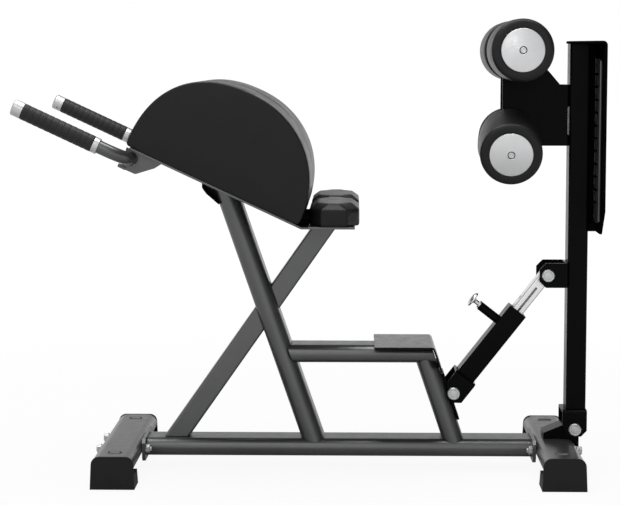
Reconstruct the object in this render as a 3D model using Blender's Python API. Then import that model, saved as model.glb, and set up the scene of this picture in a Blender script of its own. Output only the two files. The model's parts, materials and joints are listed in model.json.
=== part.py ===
"""Glute ham developer: a flat-oval tube base, a split half-moon thigh pad, handles, a step and a
hinged column that carries foam rollers and a foot plate. A sliding arm with a pull pin sets its tilt.

Metres, +Z up, -Y is the near side. The origin is on the floor, under the middle of the machine.
"""

import math

import bmesh
import bpy
from mathutils import Matrix, Vector

# Fits
GAP = 0.0003
COPE_GAP = 0.0007
HOLE_CLEARANCE = 0.0003
OPEN_PIVOT_CLEARANCE = 0.0030
PIN_TIP_CLEARANCE = 0.0005
ARC_STEP = math.radians(18.0)
ARC_ERROR = 0.00025

# Base
LEFT_FOOT_X = -0.4849
FOOT_SPACING = 1.0920
FOOT_LENGTH = 0.5800
FOOT_TUBE_WIDTH = 0.1030
TUBE_HEIGHT = 0.0450
TUBE_WALL = 0.0030
BOOT_SOLE = 0.0350
BOOT_PLATE = 0.0060
BOOT_REACH = 0.0850
BOOT_PLUG = 0.0400
BOOT_FLARE = 0.0028
BOOT_CORNER = 0.0190
FOOT_SLOT_LENGTH = 0.0300
FOOT_SLOT_WIDTH = 0.0060
FOOT_SLOT_INSET = 0.0600
BEAM_WIDTH = 0.1200
FLANGE_LENGTH = 0.1900
FLANGE_HEIGHT = 0.0560
FLANGE_THICKNESS = 0.0080
FLANGE_CHAMFER = 0.0100
BOLT_SPACING = 0.1440
BOLT_RADIUS = 0.0060
BOLT_HEAD_FLATS = 0.0190
BOLT_HEAD_HEIGHT = 0.0130
WASHER_RADIUS = 0.0120
WASHER_THICKNESS = 0.0025
NUT_HEIGHT = 0.0100

# Legs, brace and step
LEG_WIDTH = 0.1120
COPE_DEPTH = 0.0110
FRONT_LEG_X = 0.0033
FRONT_LEG_LEAN = math.radians(19.2)
FRONT_LEG_THICKNESS = 0.0540
BRACE_X = -0.3671
BRACE_LEAN = math.radians(35.0)
BRACE_THICKNESS = 0.0510
BRACE_WIDTH = 0.0560
BRACE_CORNER = 0.0060
SHORT_LEG_X = 0.3573
SHORT_LEG_LEAN = math.radians(18.8)
SHORT_LEG_THICKNESS = 0.0510
STEP_TOP = 0.3243
STEP_BEAM_WIDTH = 0.1180
STEP_PLATE_WIDTH = 0.2400
STEP_PLATE_LENGTH = 0.1470
STEP_PLATE_THICKNESS = 0.0050
STEP_PLATE_BEND = 0.0070
STEP_APRON = 0.0600
STEP_BEAM_SHORT = 0.0022

# Pads
PAD_SEAT_X = -0.0269
PAD_SEAT_Z = 0.6370
PAD_TILT = math.radians(25.0)
PAD_CHORD = 0.4550
PAD_BASE_THICKNESS = 0.0055
PAD_BASE_REACH = 0.1275
PAD_WIDTH = 0.5700
PAD_OVERHANG = 0.0070
THIGH_PAD_SPLIT = 0.0030
THIGH_PAD_CENTRE = 0.2380
THIGH_PAD_RISE = 0.0097
THIGH_PAD_HEIGHT = 0.2280
THIGH_PAD_FRONT = 0.2268
THIGH_PAD_BACK = 0.2315
THIGH_PAD_FRONT_POWER = 2.38
THIGH_PAD_BACK_POWER = 2.06
PAD_EDGE = 0.0080
PAD_CROWN = 0.0025
KNEE_PAD_START = 0.0165
KNEE_PAD_LENGTH = 0.1227
KNEE_PAD_SIDE = 0.0400
KNEE_PAD_BEVEL_HEIGHT = 0.0150
KNEE_PAD_BEVEL = 0.0190
KNEE_PAD_SPLIT = 0.0100
KNEE_PAD_CHAMFER_X = 0.0300
KNEE_PAD_CHAMFER_Y = 0.0480
GUSSET_WIDTH = 0.1000
GUSSET_THICKNESS = 0.0040
GUSSET_REACH = 0.0205
GUSSET_DEPTH = 0.0690
GUSSET_DROP = 0.0320
GUSSET_FOOT = 0.0290

# Handles
HANDLE_OUTSIDE = 0.0430
HANDLE_LEAN = math.radians(25.0)
HANDLE_LENGTH = 0.2980
HANDLE_BAR_RADIUS = 0.0160
HANDLE_BAR_WALL = 0.0025
HANDLE_BEND = 0.0600
HANDLE_CROSS_ALONG = 0.43893
HANDLE_CROSS_BELOW = 0.02648
GRIP_RADIUS = 0.0195
GRIP_START = 0.0900
COLLAR_WIDTH = 0.0140
GRIP_CAP_LENGTH = 0.0252
GRIP_CAP_PLUG = 0.0150
HANDLE_BRACKET_INSET = 0.0280
HANDLE_BRACKET_THICKNESS = 0.0060
BRACKET_START = 0.4600
CLAMP_SCREW_RADIUS = 0.0050
CLAMP_SCREW_DEPTH = 0.0080
CLAMP_SCREW_OUT = 0.0125

# Column, pivots and brackets
PIVOT_SET = 0.0488
PIVOT_Z = 0.1069
PIVOT_RADIUS = 0.0100
CLEVIS_BOLT_RADIUS = 0.0070
CAP_RADIUS = 0.0160
CAP_HEIGHT = 0.0090
BRACKET_WIDTH = 0.1000
BRACKET_PLATE = 0.0060
HUB_RADIUS = 0.0170
COLUMN_SET = 0.0037
COLUMN_THICKNESS = 0.0500
COLUMN_WIDTH = 0.0700
COLUMN_CORNER = 0.0060
COLUMN_TOP = 1.0745
COLUMN_FORK_LENGTH = 0.0615
COLUMN_FORK_DROP = 0.0185
COLUMN_FORK_RISE = 0.0491
ANCHOR_WIDTH = 0.0700
ANCHOR_TAIL = 0.0775
ANCHOR_TAIL_HEIGHT = 0.0153
ANCHOR_NOSE = 0.0122
ANCHOR_WALL = 0.0060
CLEVIS_REACH = 0.0710
CLEVIS_HEIGHT = 0.0620
CLEVIS_CHAMFER = 0.0160
CLEVIS_PIVOT_OUT = 0.0498
CLEVIS_PIVOT_Z = 0.4969

# Arm
ARM_PIVOT_RISE = 0.1349
ARM_PIVOT_STANDOFF = 0.0133
ARM_PLATE_THICKNESS = 0.0060
ARM_PLATE_WIDTH = 0.0800
ARM_PLATE_UP = 0.0555
ARM_PLATE_DOWN = 0.0691
ARM_FORK_HALF = 0.0305
ARM_FORK_WEB = 0.0510
ARM_FORK_TAIL = 0.0184
ARM_FORK_SHOULDER = 0.0072
ARM_FORK_CHAMFER = 0.0148
ARM_FORK_HEEL = 0.0120
ARM_FORK_RELIEF = 0.0163
ARM_FORK_SWING = math.radians(13.0)
ARM_TUBE_THICKNESS = 0.0500
ARM_TUBE_WIDTH = 0.0700
ARM_TUBE_END = 0.2625
INNER_THICKNESS = 0.0300
INNER_WIDTH = 0.0500
INNER_WALL = 0.0030
INNER_TAIL = 0.0350
INNER_OVERHANG = 0.0170
BUSH_LENGTH = 0.1400
SLOT_WIDTH = 0.0060
SLOT_TOP = 0.0420
SLOT_LENGTH = 0.1500
HOLE_PITCH = 0.0265
HOLES_ABOVE_PIN = 3
HOLES_BELOW_PIN = 1
PIN_HOLE_RADIUS = 0.0060

# Pull pin
PIN_ALONG = 0.2125
PIN_RADIUS = 0.0055
BOSS_RADIUS = 0.0113
BOSS_BORE = 0.0080
BOSS_END = 0.0817
PIN_COLLAR_RADIUS = 0.0100
PIN_COLLAR_WIDTH = 0.0050
PIN_STEM_RADIUS = 0.0057
PIN_SHOULDER_RADIUS = 0.0075
PIN_SHOULDER = 0.0400
KNOB_RADIUS = 0.0200
KNOB_HEIGHT = 0.0095
KNOB_END = 0.1120
PIN_TRAVEL = 0.0120

# Foot plate and tread
FOOT_PLATE_SET = 0.0470
FOOT_PLATE_THICKNESS = 0.0060
FOOT_PLATE_WIDTH = 0.2940
FOOT_PLATE_BOTTOM = 0.6040
FOOT_PLATE_CORNER = 0.0600
FOOT_PLATE_BEND = 0.0080
FOOT_PLATE_LIP = 0.0780
FOOT_PLATE_LIP_END = 0.0700
STAY_WIDTH = 0.0500
STAY_HEIGHT = 0.0220
STAY_BOTTOM = 0.6060
STAY_WALL = 0.0030
TREAD_THICKNESS = 0.0043
TREAD_WIDTH = 0.1800
TREAD_BOTTOM = 0.6300
TREAD_TOP = 1.0380
TREAD_CORNER = 0.0250
TREAD_CHAMFER_X = 0.0300
TREAD_CHAMFER_Z = 0.0400
TREAD_SLOTS = 11
TREAD_SLOT_PITCH = 0.0320
TREAD_SLOT_LENGTH = 0.1120
TREAD_SLOT_HEIGHT = 0.0063
TREAD_FIRST_SLOT = 0.0490

# Roller carriage and rollers
CARRIAGE_PLATE = 0.0050
CARRIAGE_WIDTH = 0.0694
CARRIAGE_REACH = 0.1925
CARRIAGE_BOTTOM = 0.8210
CARRIAGE_LAND_TOP = 0.9730
CARRIAGE_SLOT_BOTTOM = 0.8465
CARRIAGE_SLOT_TOP = 0.9190
CARRIAGE_SLOT_DEPTH = 0.0045
CARRIAGE_SLOPE_RUN = 0.0319
CARRIAGE_SLOPE_RISE = 0.0370
CARRIAGE_SLOPE_OUT = 0.0240
UPPER_AXLE_REACH = 0.1581
UPPER_AXLE_Z = 1.0573
LOWER_AXLE_REACH = 0.1727
LOWER_AXLE_Z = 0.8497
LOWER_DROOP = math.radians(10.6)
LOWER_YAW = math.radians(2.9)
AXLE_RADIUS = 0.0125
AXLE_BOLT_RADIUS = 0.0085
AXLE_BOLT_HEIGHT = 0.0070
ROLLER_RADIUS = 0.0755
ROLLER_BORE = 0.0130
ROLLER_LENGTH = 0.1860
ROLLER_EDGE = 0.0110
UPPER_ROLLER_START = 0.0365
LOWER_ROLLER_START = 0.0440
HUB_CAP_RADIUS = 0.0526
HUB_CAP_HEIGHT = 0.0060
HUB_CAP_BORE = 0.0092

# Colour, roughness and metallic value of each finish
FINISHES = {
    "frame_paint": ((0.060, 0.061, 0.064), 0.38, 0.0),
    "black_paint": ((0.012, 0.012, 0.013), 0.42, 0.0),
    "step_paint": ((0.012, 0.012, 0.013), 0.22, 0.0),
    "chrome": ((0.780, 0.780, 0.790), 0.12, 1.0),
    "silver": ((0.620, 0.625, 0.635), 0.32, 1.0),
    "vinyl": ((0.016, 0.016, 0.017), 0.55, 0.0),
    "foam": ((0.018, 0.018, 0.019), 0.60, 0.0),
    "rubber": ((0.014, 0.014, 0.014), 0.70, 0.0),
    "plastic": ((0.022, 0.022, 0.023), 0.50, 0.0),
    "steel": ((0.400, 0.400, 0.410), 0.35, 1.0),
}

X_AXIS = Vector((1.0, 0.0, 0.0))
Y_AXIS = Vector((0.0, 1.0, 0.0))
Z_AXIS = Vector((0.0, 0.0, 1.0))


def clear_scene():
    for obj in list(bpy.data.objects):
        bpy.data.objects.remove(obj, do_unlink=True)


def axes(origin, x_axis, z_axis):
    """A right-handed frame at origin, with its local z along z_axis and local x near x_axis."""
    z = Vector(z_axis).normalized()
    y = z.cross(Vector(x_axis)).normalized()
    x = y.cross(z)
    frame = Matrix((x, y, z)).transposed().to_4x4()
    frame.translation = Vector(origin)
    return frame


def side_view(origin=(0.0, 0.0, 0.0)):
    """Local x is world X, local y is world Z and local z is world -Y."""
    return axes(origin, X_AXIS, -Y_AXIS)


def lengthwise(origin=(0.0, 0.0, 0.0)):
    """Local x is world Y, local y is world Z and local z is world X."""
    return axes(origin, Y_AXIS, X_AXIS)


def upright(origin=(0.0, 0.0, 0.0)):
    return axes(origin, X_AXIS, Z_AXIS)


def member(origin, direction):
    """Local z runs along a member in the side plane, local y is world Y, local x is square to both."""
    d = Vector(direction).normalized()
    return axes(origin, Vector((d.z, 0.0, -d.x)), d)


def leaning(x, z, lean):
    """The frame of a leg that crosses height z at x and leans by lean toward +X."""
    return member((x, 0.0, z), (math.sin(lean), 0.0, math.cos(lean)))


def finish_material(name, finish):
    colour, roughness, metallic = FINISHES[finish]
    material = bpy.data.materials.new(name + "_" + finish)
    material.use_nodes = True
    shader = material.node_tree.nodes["Principled BSDF"]
    shader.inputs["Base Color"].default_value = (*colour, 1.0)
    shader.inputs["Roughness"].default_value = roughness
    shader.inputs["Metallic"].default_value = metallic
    material.diffuse_color = (*colour, 1.0)
    return material


def add_object(name, bm, frame, finish):
    """Turns a bmesh into a named, placed and shaded object; a finish of None makes a cutter."""
    bmesh.ops.recalc_face_normals(bm, faces=bm.faces)
    mesh = bpy.data.meshes.new(name)
    bm.to_mesh(mesh)
    bm.free()
    mesh.shade_smooth()
    mesh.set_sharp_from_angle(angle=math.radians(28.0))
    obj = bpy.data.objects.new(name, mesh)
    obj.matrix_world = frame
    bpy.context.scene.collection.objects.link(obj)
    if finish is None:
        obj.hide_render = True
        obj.display_type = "WIRE"
    else:
        mesh.materials.append(finish_material(name, finish))
    return obj


def combine(obj, tools, operation):
    """Adds one Boolean for each tool; a tool is then only a construction solid."""
    for tool in tools:
        tool.hide_render = True
        tool.display_type = "WIRE"
        modifier = obj.modifiers.new(operation.lower() + "_" + tool.name, "BOOLEAN")
        modifier.operation = operation
        modifier.solver = "EXACT"
        modifier.object = tool
    return obj


def arc(centre, radius, start, end):
    """Points along an arc, with both of its ends; angles in radians."""
    step = max(ARC_STEP, 2.0 * math.acos(max(0.7, 1.0 - ARC_ERROR / radius)))
    steps = max(2, math.ceil(abs(end - start) / step - 1e-6))
    angles = [start + (end - start) * i / steps for i in range(steps + 1)]
    return [(centre[0] + radius * math.cos(a), centre[1] + radius * math.sin(a)) for a in angles]


def circle(centre, radius, steps=20):
    turn = 2.0 * math.pi / steps
    return [(centre[0] + radius * math.cos(turn * (i + 0.5)), centre[1] + radius * math.sin(turn * (i + 0.5)))
            for i in range(steps)]


def filleted(corners, closed=True):
    """An outline from (u, v, fillet radius) corners."""
    points = []
    count = len(corners)
    for i, (u, v, radius) in enumerate(corners):
        here = Vector((u, v))
        at_end = not closed and i in (0, count - 1)
        if radius <= 0.0 or at_end:
            points.append((u, v))
            continue
        before = (Vector(corners[i - 1][:2]) - here).normalized()
        after = (Vector(corners[(i + 1) % count][:2]) - here).normalized()
        half = math.acos(max(-1.0, min(1.0, before.dot(after)))) / 2.0
        centre = here + (before + after).normalized() * (radius / math.sin(half))
        first = here + before * (radius / math.tan(half)) - centre
        last = here + after * (radius / math.tan(half)) - centre
        start = math.atan2(first.y, first.x)
        sweep = math.atan2(last.y, last.x) - start
        sweep = (sweep + math.pi) % (2.0 * math.pi) - math.pi
        points += arc(centre, radius, start, start + sweep)
    return points


def rounded_rectangle(width, height, radius, centre=(0.0, 0.0)):
    x, y = width / 2.0, height / 2.0
    corners = [(centre[0] + a * x, centre[1] + b * y, radius) for a, b in ((1, 1), (-1, 1), (-1, -1), (1, -1))]
    return filleted(corners)


def flat_oval(width, height):
    """A flat-sided oval whose narrow ends are half circles, the long way along u or v."""
    radius = min(width, height) / 2.0
    u, v = max(0.0, width / 2.0 - radius), max(0.0, height / 2.0 - radius)
    points = arc((u, v), radius, -math.pi / 2.0, 0.0)[:-1] if u > v else []
    if u > v:
        points += arc((u, 0.0), radius, 0.0, math.pi / 2.0)
        points += arc((-u, 0.0), radius, math.pi / 2.0, 1.5 * math.pi)
        return points
    points += arc((0.0, v), radius, 0.0, math.pi)
    points += arc((0.0, -v), radius, math.pi, 2.0 * math.pi)
    return points


def oval_tube(width, height, wall):
    return [flat_oval(width, height), flat_oval(width - 2.0 * wall, height - 2.0 * wall)]


def box_tube(width, height, wall, corner):
    inner = max(corner - wall, 0.0008)
    return [rounded_rectangle(width, height, corner),
            rounded_rectangle(width - 2.0 * wall, height - 2.0 * wall, inner)]


def divided(loop, step):
    """The same outline with its long edges divided, so that a coped end can follow a curve."""
    points = []
    for (u, v), (next_u, next_v) in zip(loop, loop[1:] + loop[:1]):
        parts = max(1, round(math.hypot(next_u - u, next_v - v) / step))
        points += [(u + (next_u - u) * i / parts, v + (next_v - v) * i / parts) for i in range(parts)]
    return points


def strip(corners, thickness):
    """The outline of a bent strip whose middle line has the given (u, v, bend radius) corners."""
    line = [Vector(p) for p in filleted(corners, closed=False)]
    sides = ([], [])
    for i, point in enumerate(line):
        before = (point - line[i - 1]).normalized() if i else None
        after = (line[i + 1] - point).normalized() if i + 1 < len(line) else None
        before, after = before or after, after or before
        mitre = (before + after).normalized()
        normal = Vector((-mitre.y, mitre.x)) / mitre.dot(after)
        for side, sign in zip(sides, (0.5, -0.5)):
            side.append(tuple(point + normal * thickness * sign))
    return sides[0] + sides[1][::-1]


def prism(name, loops, low, high, frame, finish=None):
    """Extrudes an outline with holes from low to high along the frame's z.

    low and high are distances, or functions of (u, v) that give a sloping or coped end.
    """
    bm = bmesh.new()
    edges = []
    for loop in loops:
        verts = [bm.verts.new((u, v, 0.0)) for u, v in loop]
        edges += [bm.edges.new((a, b)) for a, b in zip(verts, verts[1:] + verts[:1])]
    faces = bmesh.ops.triangle_fill(bm, edges=edges, use_beauty=True, use_dissolve=False)["geom"]
    faces = [f for f in faces if isinstance(f, bmesh.types.BMFace)]
    bottom = list(bm.verts)
    raised = bmesh.ops.extrude_face_region(bm, geom=faces, use_keep_orig=True)["geom"]
    top = [v for v in raised if isinstance(v, bmesh.types.BMVert)]
    for verts, level in ((bottom, low), (top, high)):
        for vert in verts:
            vert.co.z = level(vert.co.x, vert.co.y) if callable(level) else level
    return add_object(name, bm, frame, finish)


def rings(name, loops, frame, finish=None, closed=False):
    """Skins a row of equal rings, with end faces, or joins the last ring to the first."""
    bm = bmesh.new()
    rows = [[bm.verts.new(p) for p in loop] for loop in loops]
    pairs = list(zip(rows, rows[1:])) + ([(rows[-1], rows[0])] if closed else [])
    for low, high in pairs:
        for i in range(len(low)):
            j = (i + 1) % len(low)
            bm.faces.new((low[i], low[j], high[j], high[i]))
    if not closed:
        bm.faces.new(rows[0])
        bm.faces.new(rows[-1])
    return add_object(name, bm, frame, finish)


def turned(name, profile, frame, finish=None, steps=32):
    """Spins a closed (radius, height) profile about the frame's z."""
    bm = bmesh.new()
    verts = [bm.verts.new((r, 0.0, h)) for r, h in profile]
    edges = [bm.edges.new((a, b)) for a, b in zip(verts, verts[1:])]
    if min(r for r, _ in profile) > 0.0:
        edges.append(bm.edges.new((verts[-1], verts[0])))
    bmesh.ops.spin(bm, geom=verts + edges, cent=(0.0, 0.0, 0.0), axis=(0.0, 0.0, 1.0),
                   angle=2.0 * math.pi, steps=steps, use_merge=True)
    bmesh.ops.remove_doubles(bm, verts=bm.verts, dist=1e-6)
    return add_object(name, bm, frame, finish)


def drill(name, origin, direction, radius, length, steps=12):
    """A round cutter centred on origin."""
    profile = [(0.0, -length / 2.0), (radius, -length / 2.0), (radius, length / 2.0), (0.0, length / 2.0)]
    hint = X_AXIS if abs(Vector(direction).normalized().x) < 0.9 else Z_AXIS
    return turned(name, profile, axes(origin, hint, direction), steps=steps)


def swept(path, radius, sides):
    """Rings of a round section along a path of points."""
    points = [Vector(p) for p in path]
    tangents = []
    for i in range(len(points)):
        before = points[i] - points[max(i - 1, 0)]
        after = points[min(i + 1, len(points) - 1)] - points[i]
        tangents.append((before.normalized() + after.normalized()).normalized())
    side = tangents[0].orthogonal().normalized()
    loops = []
    for i, (point, tangent) in enumerate(zip(points, tangents)):
        side = (side - tangent * side.dot(tangent)).normalized()
        other = tangent.cross(side)
        step = points[i] - points[i - 1] if i else points[1] - points[0]
        stretch = 1.0 / max(0.2, tangent.dot(step.normalized()))
        bend = side.cross(tangent)
        ring = []
        for k in range(sides):
            angle = 2.0 * math.pi * k / sides
            ring.append(point + side * radius * math.cos(angle) + other * radius * math.sin(angle))
        if stretch > 1.001:
            axis = (step.normalized() - tangent * tangent.dot(step.normalized())).normalized()
            ring = [p + axis * (p - point).dot(axis) * (stretch - 1.0) for p in ring]
        loops.append([tuple(p) for p in ring])
    return loops


def marker(name, origin, direction):
    """An empty on a joint's axis."""
    empty = bpy.data.objects.new(name, None)
    empty.empty_display_size = 0.05
    hint = X_AXIS if abs(Vector(direction).normalized().x) < 0.9 else Z_AXIS
    empty.matrix_world = axes(origin, hint, direction)
    bpy.context.scene.collection.objects.link(empty)
    return empty


def carry(parent, *children):
    bpy.context.view_layer.update()
    for child in children:
        child.parent = parent
        child.matrix_parent_inverse = parent.matrix_world.inverted()


def plane_end(frame, point, normal):
    """The distance along frame's z at which a member meets a plane."""
    def distance(u, v):
        start = frame @ Vector((u, v, 0.0))
        direction = frame.to_3x3() @ Z_AXIS
        return (Vector(point) - start).dot(normal) / direction.dot(normal)
    return distance


def oval_half(width, height):
    """Half the thickness of a flat oval at a distance v from its middle, no deeper than a cope."""
    radius = height / 2.0
    flat = width / 2.0 - radius

    def half(v):
        past = min(max(abs(v) - flat, 0.0), radius)
        return max(math.sqrt(radius * radius - past * past), radius - COPE_DEPTH)
    return half


def coped_end(frame, other, side, half):
    """The distance along frame's z at which a member meets the oval side of another one."""
    def distance(u, v):
        start = frame @ Vector((u, v, 0.0))
        direction = frame.to_3x3() @ Z_AXIS
        normal = (other.to_3x3() @ X_AXIS) * side
        return (half(v) + COPE_GAP - (start - other.translation).dot(normal)) / direction.dot(normal)
    return distance


BEAM_Z = BOOT_SOLE + TUBE_HEIGHT / 2.0
PAD_BASE_WIDTH = PAD_WIDTH - 2.0 * PAD_OVERHANG
FOOT_TOP = BOOT_SOLE + TUBE_HEIGHT
RIGHT_FOOT_X = LEFT_FOOT_X + FOOT_SPACING
PLATE_HALF = BRACKET_WIDTH / 2.0
HUB_HALF = PLATE_HALF - BRACKET_PLATE - 2.0 * GAP
BEAM_FRAME = member((0.0, 0.0, BEAM_Z), X_AXIS)
FRONT_LEG_FRAME = leaning(FRONT_LEG_X, BEAM_Z, -FRONT_LEG_LEAN)
BRACE_FRAME = leaning(BRACE_X, BEAM_Z, BRACE_LEAN)
SHORT_LEG_FRAME = leaning(SHORT_LEG_X, BEAM_Z, -SHORT_LEG_LEAN)
STEP_BEAM_TOP = STEP_TOP - STEP_PLATE_THICKNESS - GAP
STEP_BEAM_FRAME = member((0.0, 0.0, STEP_BEAM_TOP - TUBE_HEIGHT / 2.0), X_AXIS)
PIVOT_X = RIGHT_FOOT_X + PIVOT_SET
COLUMN_X = PIVOT_X + COLUMN_SET
COLUMN_LEFT = COLUMN_X - COLUMN_THICKNESS / 2.0
FOOT_PLATE_X = COLUMN_X + FOOT_PLATE_SET
UPPER_AXLE_X = COLUMN_X - UPPER_AXLE_REACH
LOWER_AXLE_X = COLUMN_X - LOWER_AXLE_REACH
PIVOT = Vector((PIVOT_X, 0.0, PIVOT_Z))
ARM_LOW = SHORT_LEG_FRAME @ Vector((SHORT_LEG_THICKNESS / 2.0 + ARM_PIVOT_STANDOFF, 0.0, ARM_PIVOT_RISE))
ARM_HIGH = Vector((COLUMN_LEFT - CLEVIS_PIVOT_OUT, 0.0, CLEVIS_PIVOT_Z))
ARM_FRAME = member(ARM_LOW, ARM_HIGH - ARM_LOW)
ARM_LENGTH = (ARM_HIGH - ARM_LOW).length
PAD_CHORD_FRAME = axes((PAD_SEAT_X, 0.0, PAD_SEAT_Z),
                       (-math.cos(PAD_TILT), 0.0, math.sin(PAD_TILT)), Y_AXIS)


def on_chord(along, above=0.0):
    """World x and z of a point along the thigh pad's seat, counted up and to the left from its bend."""
    point = PAD_CHORD_FRAME @ Vector((along, 0.0, 0.0))
    return (point.x + above * math.sin(PAD_TILT), point.z + above * math.cos(PAD_TILT))


HANDLE_CROSS_X, HANDLE_CROSS_Z = on_chord(HANDLE_CROSS_ALONG, -HANDLE_CROSS_BELOW)


def foot(side, x):
    """One foot: its tube, two boots and the two bolts that hold the main beam to it."""
    half = FOOT_LENGTH / 2.0
    tube_half = half - BOOT_PLATE - GAP
    frame = side_view((x, 0.0, BEAM_Z))
    loops = oval_tube(FOOT_TUBE_WIDTH, TUBE_HEIGHT, TUBE_WALL)
    tube = prism(side + "_foot_tube", loops, -tube_half, tube_half, frame, "frame_paint")
    cutters = []
    for near, sign in (("near", -1.0), ("far", 1.0)):
        y = sign * BOLT_SPACING / 2.0
        cutters.append(drill("cut_%s_foot_bolt_%s" % (side, near), (x, y, BEAM_Z), X_AXIS,
                             BOLT_RADIUS + HOLE_CLEARANCE, 2.0 * FOOT_TUBE_WIDTH))
        slot = rounded_rectangle(FOOT_SLOT_LENGTH, FOOT_SLOT_WIDTH, FOOT_SLOT_WIDTH * 0.49)
        place = upright((x, sign * (half - FOOT_SLOT_INSET), FOOT_TOP))
        cutters.append(prism("cut_%s_foot_slot_%s" % (side, near), [slot], -2.0 * TUBE_WALL,
                             2.0 * TUBE_WALL, place))
        boot(side, near, x, sign)
        through_bolt(side, near, x, y)
    combine(tube, cutters, "DIFFERENCE")


def boot(side, near, x, sign):
    """A moulded boot: an end plate, a foot under the tube and a plug inside it."""
    half = FOOT_LENGTH / 2.0
    name = "boot_%s_%s" % (side, near)
    frame = side_view((x, 0.0, 0.0))
    top = FOOT_TUBE_WIDTH / 2.0
    floor = top + BOOT_FLARE
    outline = filleted([(floor, 0.0, 0.0), (top, FOOT_TOP - BOOT_CORNER, 0.0), (top, FOOT_TOP + GAP, BOOT_CORNER),
                        (-top, FOOT_TOP + GAP, BOOT_CORNER), (-top, FOOT_TOP - BOOT_CORNER, 0.0),
                        (-floor, 0.0, 0.0)])
    sole = [(floor - GAP, 0.0), (top, BOOT_SOLE - GAP), (-top, BOOT_SOLE - GAP), (-floor + GAP, 0.0)]
    spans = {"plate": (half - BOOT_PLATE, half), "sole": (half - BOOT_REACH, half - BOOT_PLATE / 2.0),
             "plug": (half - BOOT_PLATE - BOOT_PLUG, half - BOOT_PLATE / 2.0)}
    spans = {key: sorted((-sign * a, -sign * b)) for key, (a, b) in spans.items()}
    plug_width = FOOT_TUBE_WIDTH - 2.0 * (TUBE_WALL + GAP)
    plug_height = TUBE_HEIGHT - 2.0 * (TUBE_WALL + GAP)
    body = prism(name, [outline], *spans["plate"], frame, "rubber")
    under = prism("add_sole_" + name, [sole], *spans["sole"], frame)
    plug = prism("add_plug_" + name, [flat_oval(plug_width, plug_height)], *spans["plug"],
                 side_view((x, 0.0, BEAM_Z)))
    combine(body, [under, plug], "UNION")


def through_bolt(side, near, x, y):
    """A hexagon bolt through the foot tube and the beam's flange, with its nut."""
    outward = 1.0 if x > 0.0 else -1.0
    head_face = FOOT_TUBE_WIDTH / 2.0 + GAP
    nut_face = FOOT_TUBE_WIDTH / 2.0 + 2.0 * GAP + FLANGE_THICKNESS
    hexagon = BOLT_HEAD_FLATS / 2.0 / math.cos(math.pi / 6.0)

    def ring(height, radius, flat):
        points = []
        for i in range(12):
            angle = math.pi * i / 6.0
            reach = radius * math.cos(math.pi / 6.0) if flat and i % 2 else radius
            points.append((reach * math.cos(angle), reach * math.sin(angle), height))
        return points

    loops = [ring(head_face + BOLT_HEAD_HEIGHT, hexagon * 0.88, False),
             ring(head_face + BOLT_HEAD_HEIGHT * 0.85, hexagon, True),
             ring(head_face + WASHER_THICKNESS, hexagon, True),
             ring(head_face + WASHER_THICKNESS, WASHER_RADIUS, False),
             ring(head_face, WASHER_RADIUS, False),
             ring(head_face, BOLT_RADIUS, False),
             ring(-nut_face, BOLT_RADIUS, False),
             ring(-nut_face, hexagon, True),
             ring(-nut_face - NUT_HEIGHT, hexagon, True),
             ring(-nut_face - NUT_HEIGHT, BOLT_RADIUS, False),
             ring(-nut_face - NUT_HEIGHT * 1.4, BOLT_RADIUS * 0.9, False)]
    frame = axes((x, y, BEAM_Z), Y_AXIS, X_AXIS * outward)
    rings("through_bolt_%s_%s" % (side, near), loops, frame, "silver")


def main_beam():
    """The flat-oval beam between the feet, with a welded flange at each end."""
    left = LEFT_FOOT_X + FOOT_TUBE_WIDTH / 2.0 + GAP
    right = RIGHT_FOOT_X - FOOT_TUBE_WIDTH / 2.0 - GAP
    inset = FLANGE_THICKNESS / 2.0
    beam = prism("main_beam", oval_tube(TUBE_HEIGHT, BEAM_WIDTH, TUBE_WALL), left + inset, right - inset,
                 BEAM_FRAME, "frame_paint")
    half_y, half_z = FLANGE_LENGTH / 2.0, FLANGE_HEIGHT / 2.0
    chamfer = FLANGE_CHAMFER
    outline = [(half_y - chamfer, -half_z), (half_y, chamfer - half_z), (half_y, half_z - chamfer),
               (half_y - chamfer, half_z)]
    outline += [(-y, z) for y, z in reversed(outline)]
    vent = flat_oval(BEAM_WIDTH - 4.0 * TUBE_WALL, TUBE_HEIGHT - 4.0 * TUBE_WALL)
    holes = [circle((s * BOLT_SPACING / 2.0, 0.0), BOLT_RADIUS + HOLE_CLEARANCE, 12) for s in (-1.0, 1.0)]
    flanges = [prism("add_beam_flange_" + side, [outline, vent, *holes], start, start + FLANGE_THICKNESS,
                     lengthwise((0.0, 0.0, BEAM_Z)))
               for side, start in (("left", left), ("right", right - FLANGE_THICKNESS))]
    combine(beam, flanges, "UNION")


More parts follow.
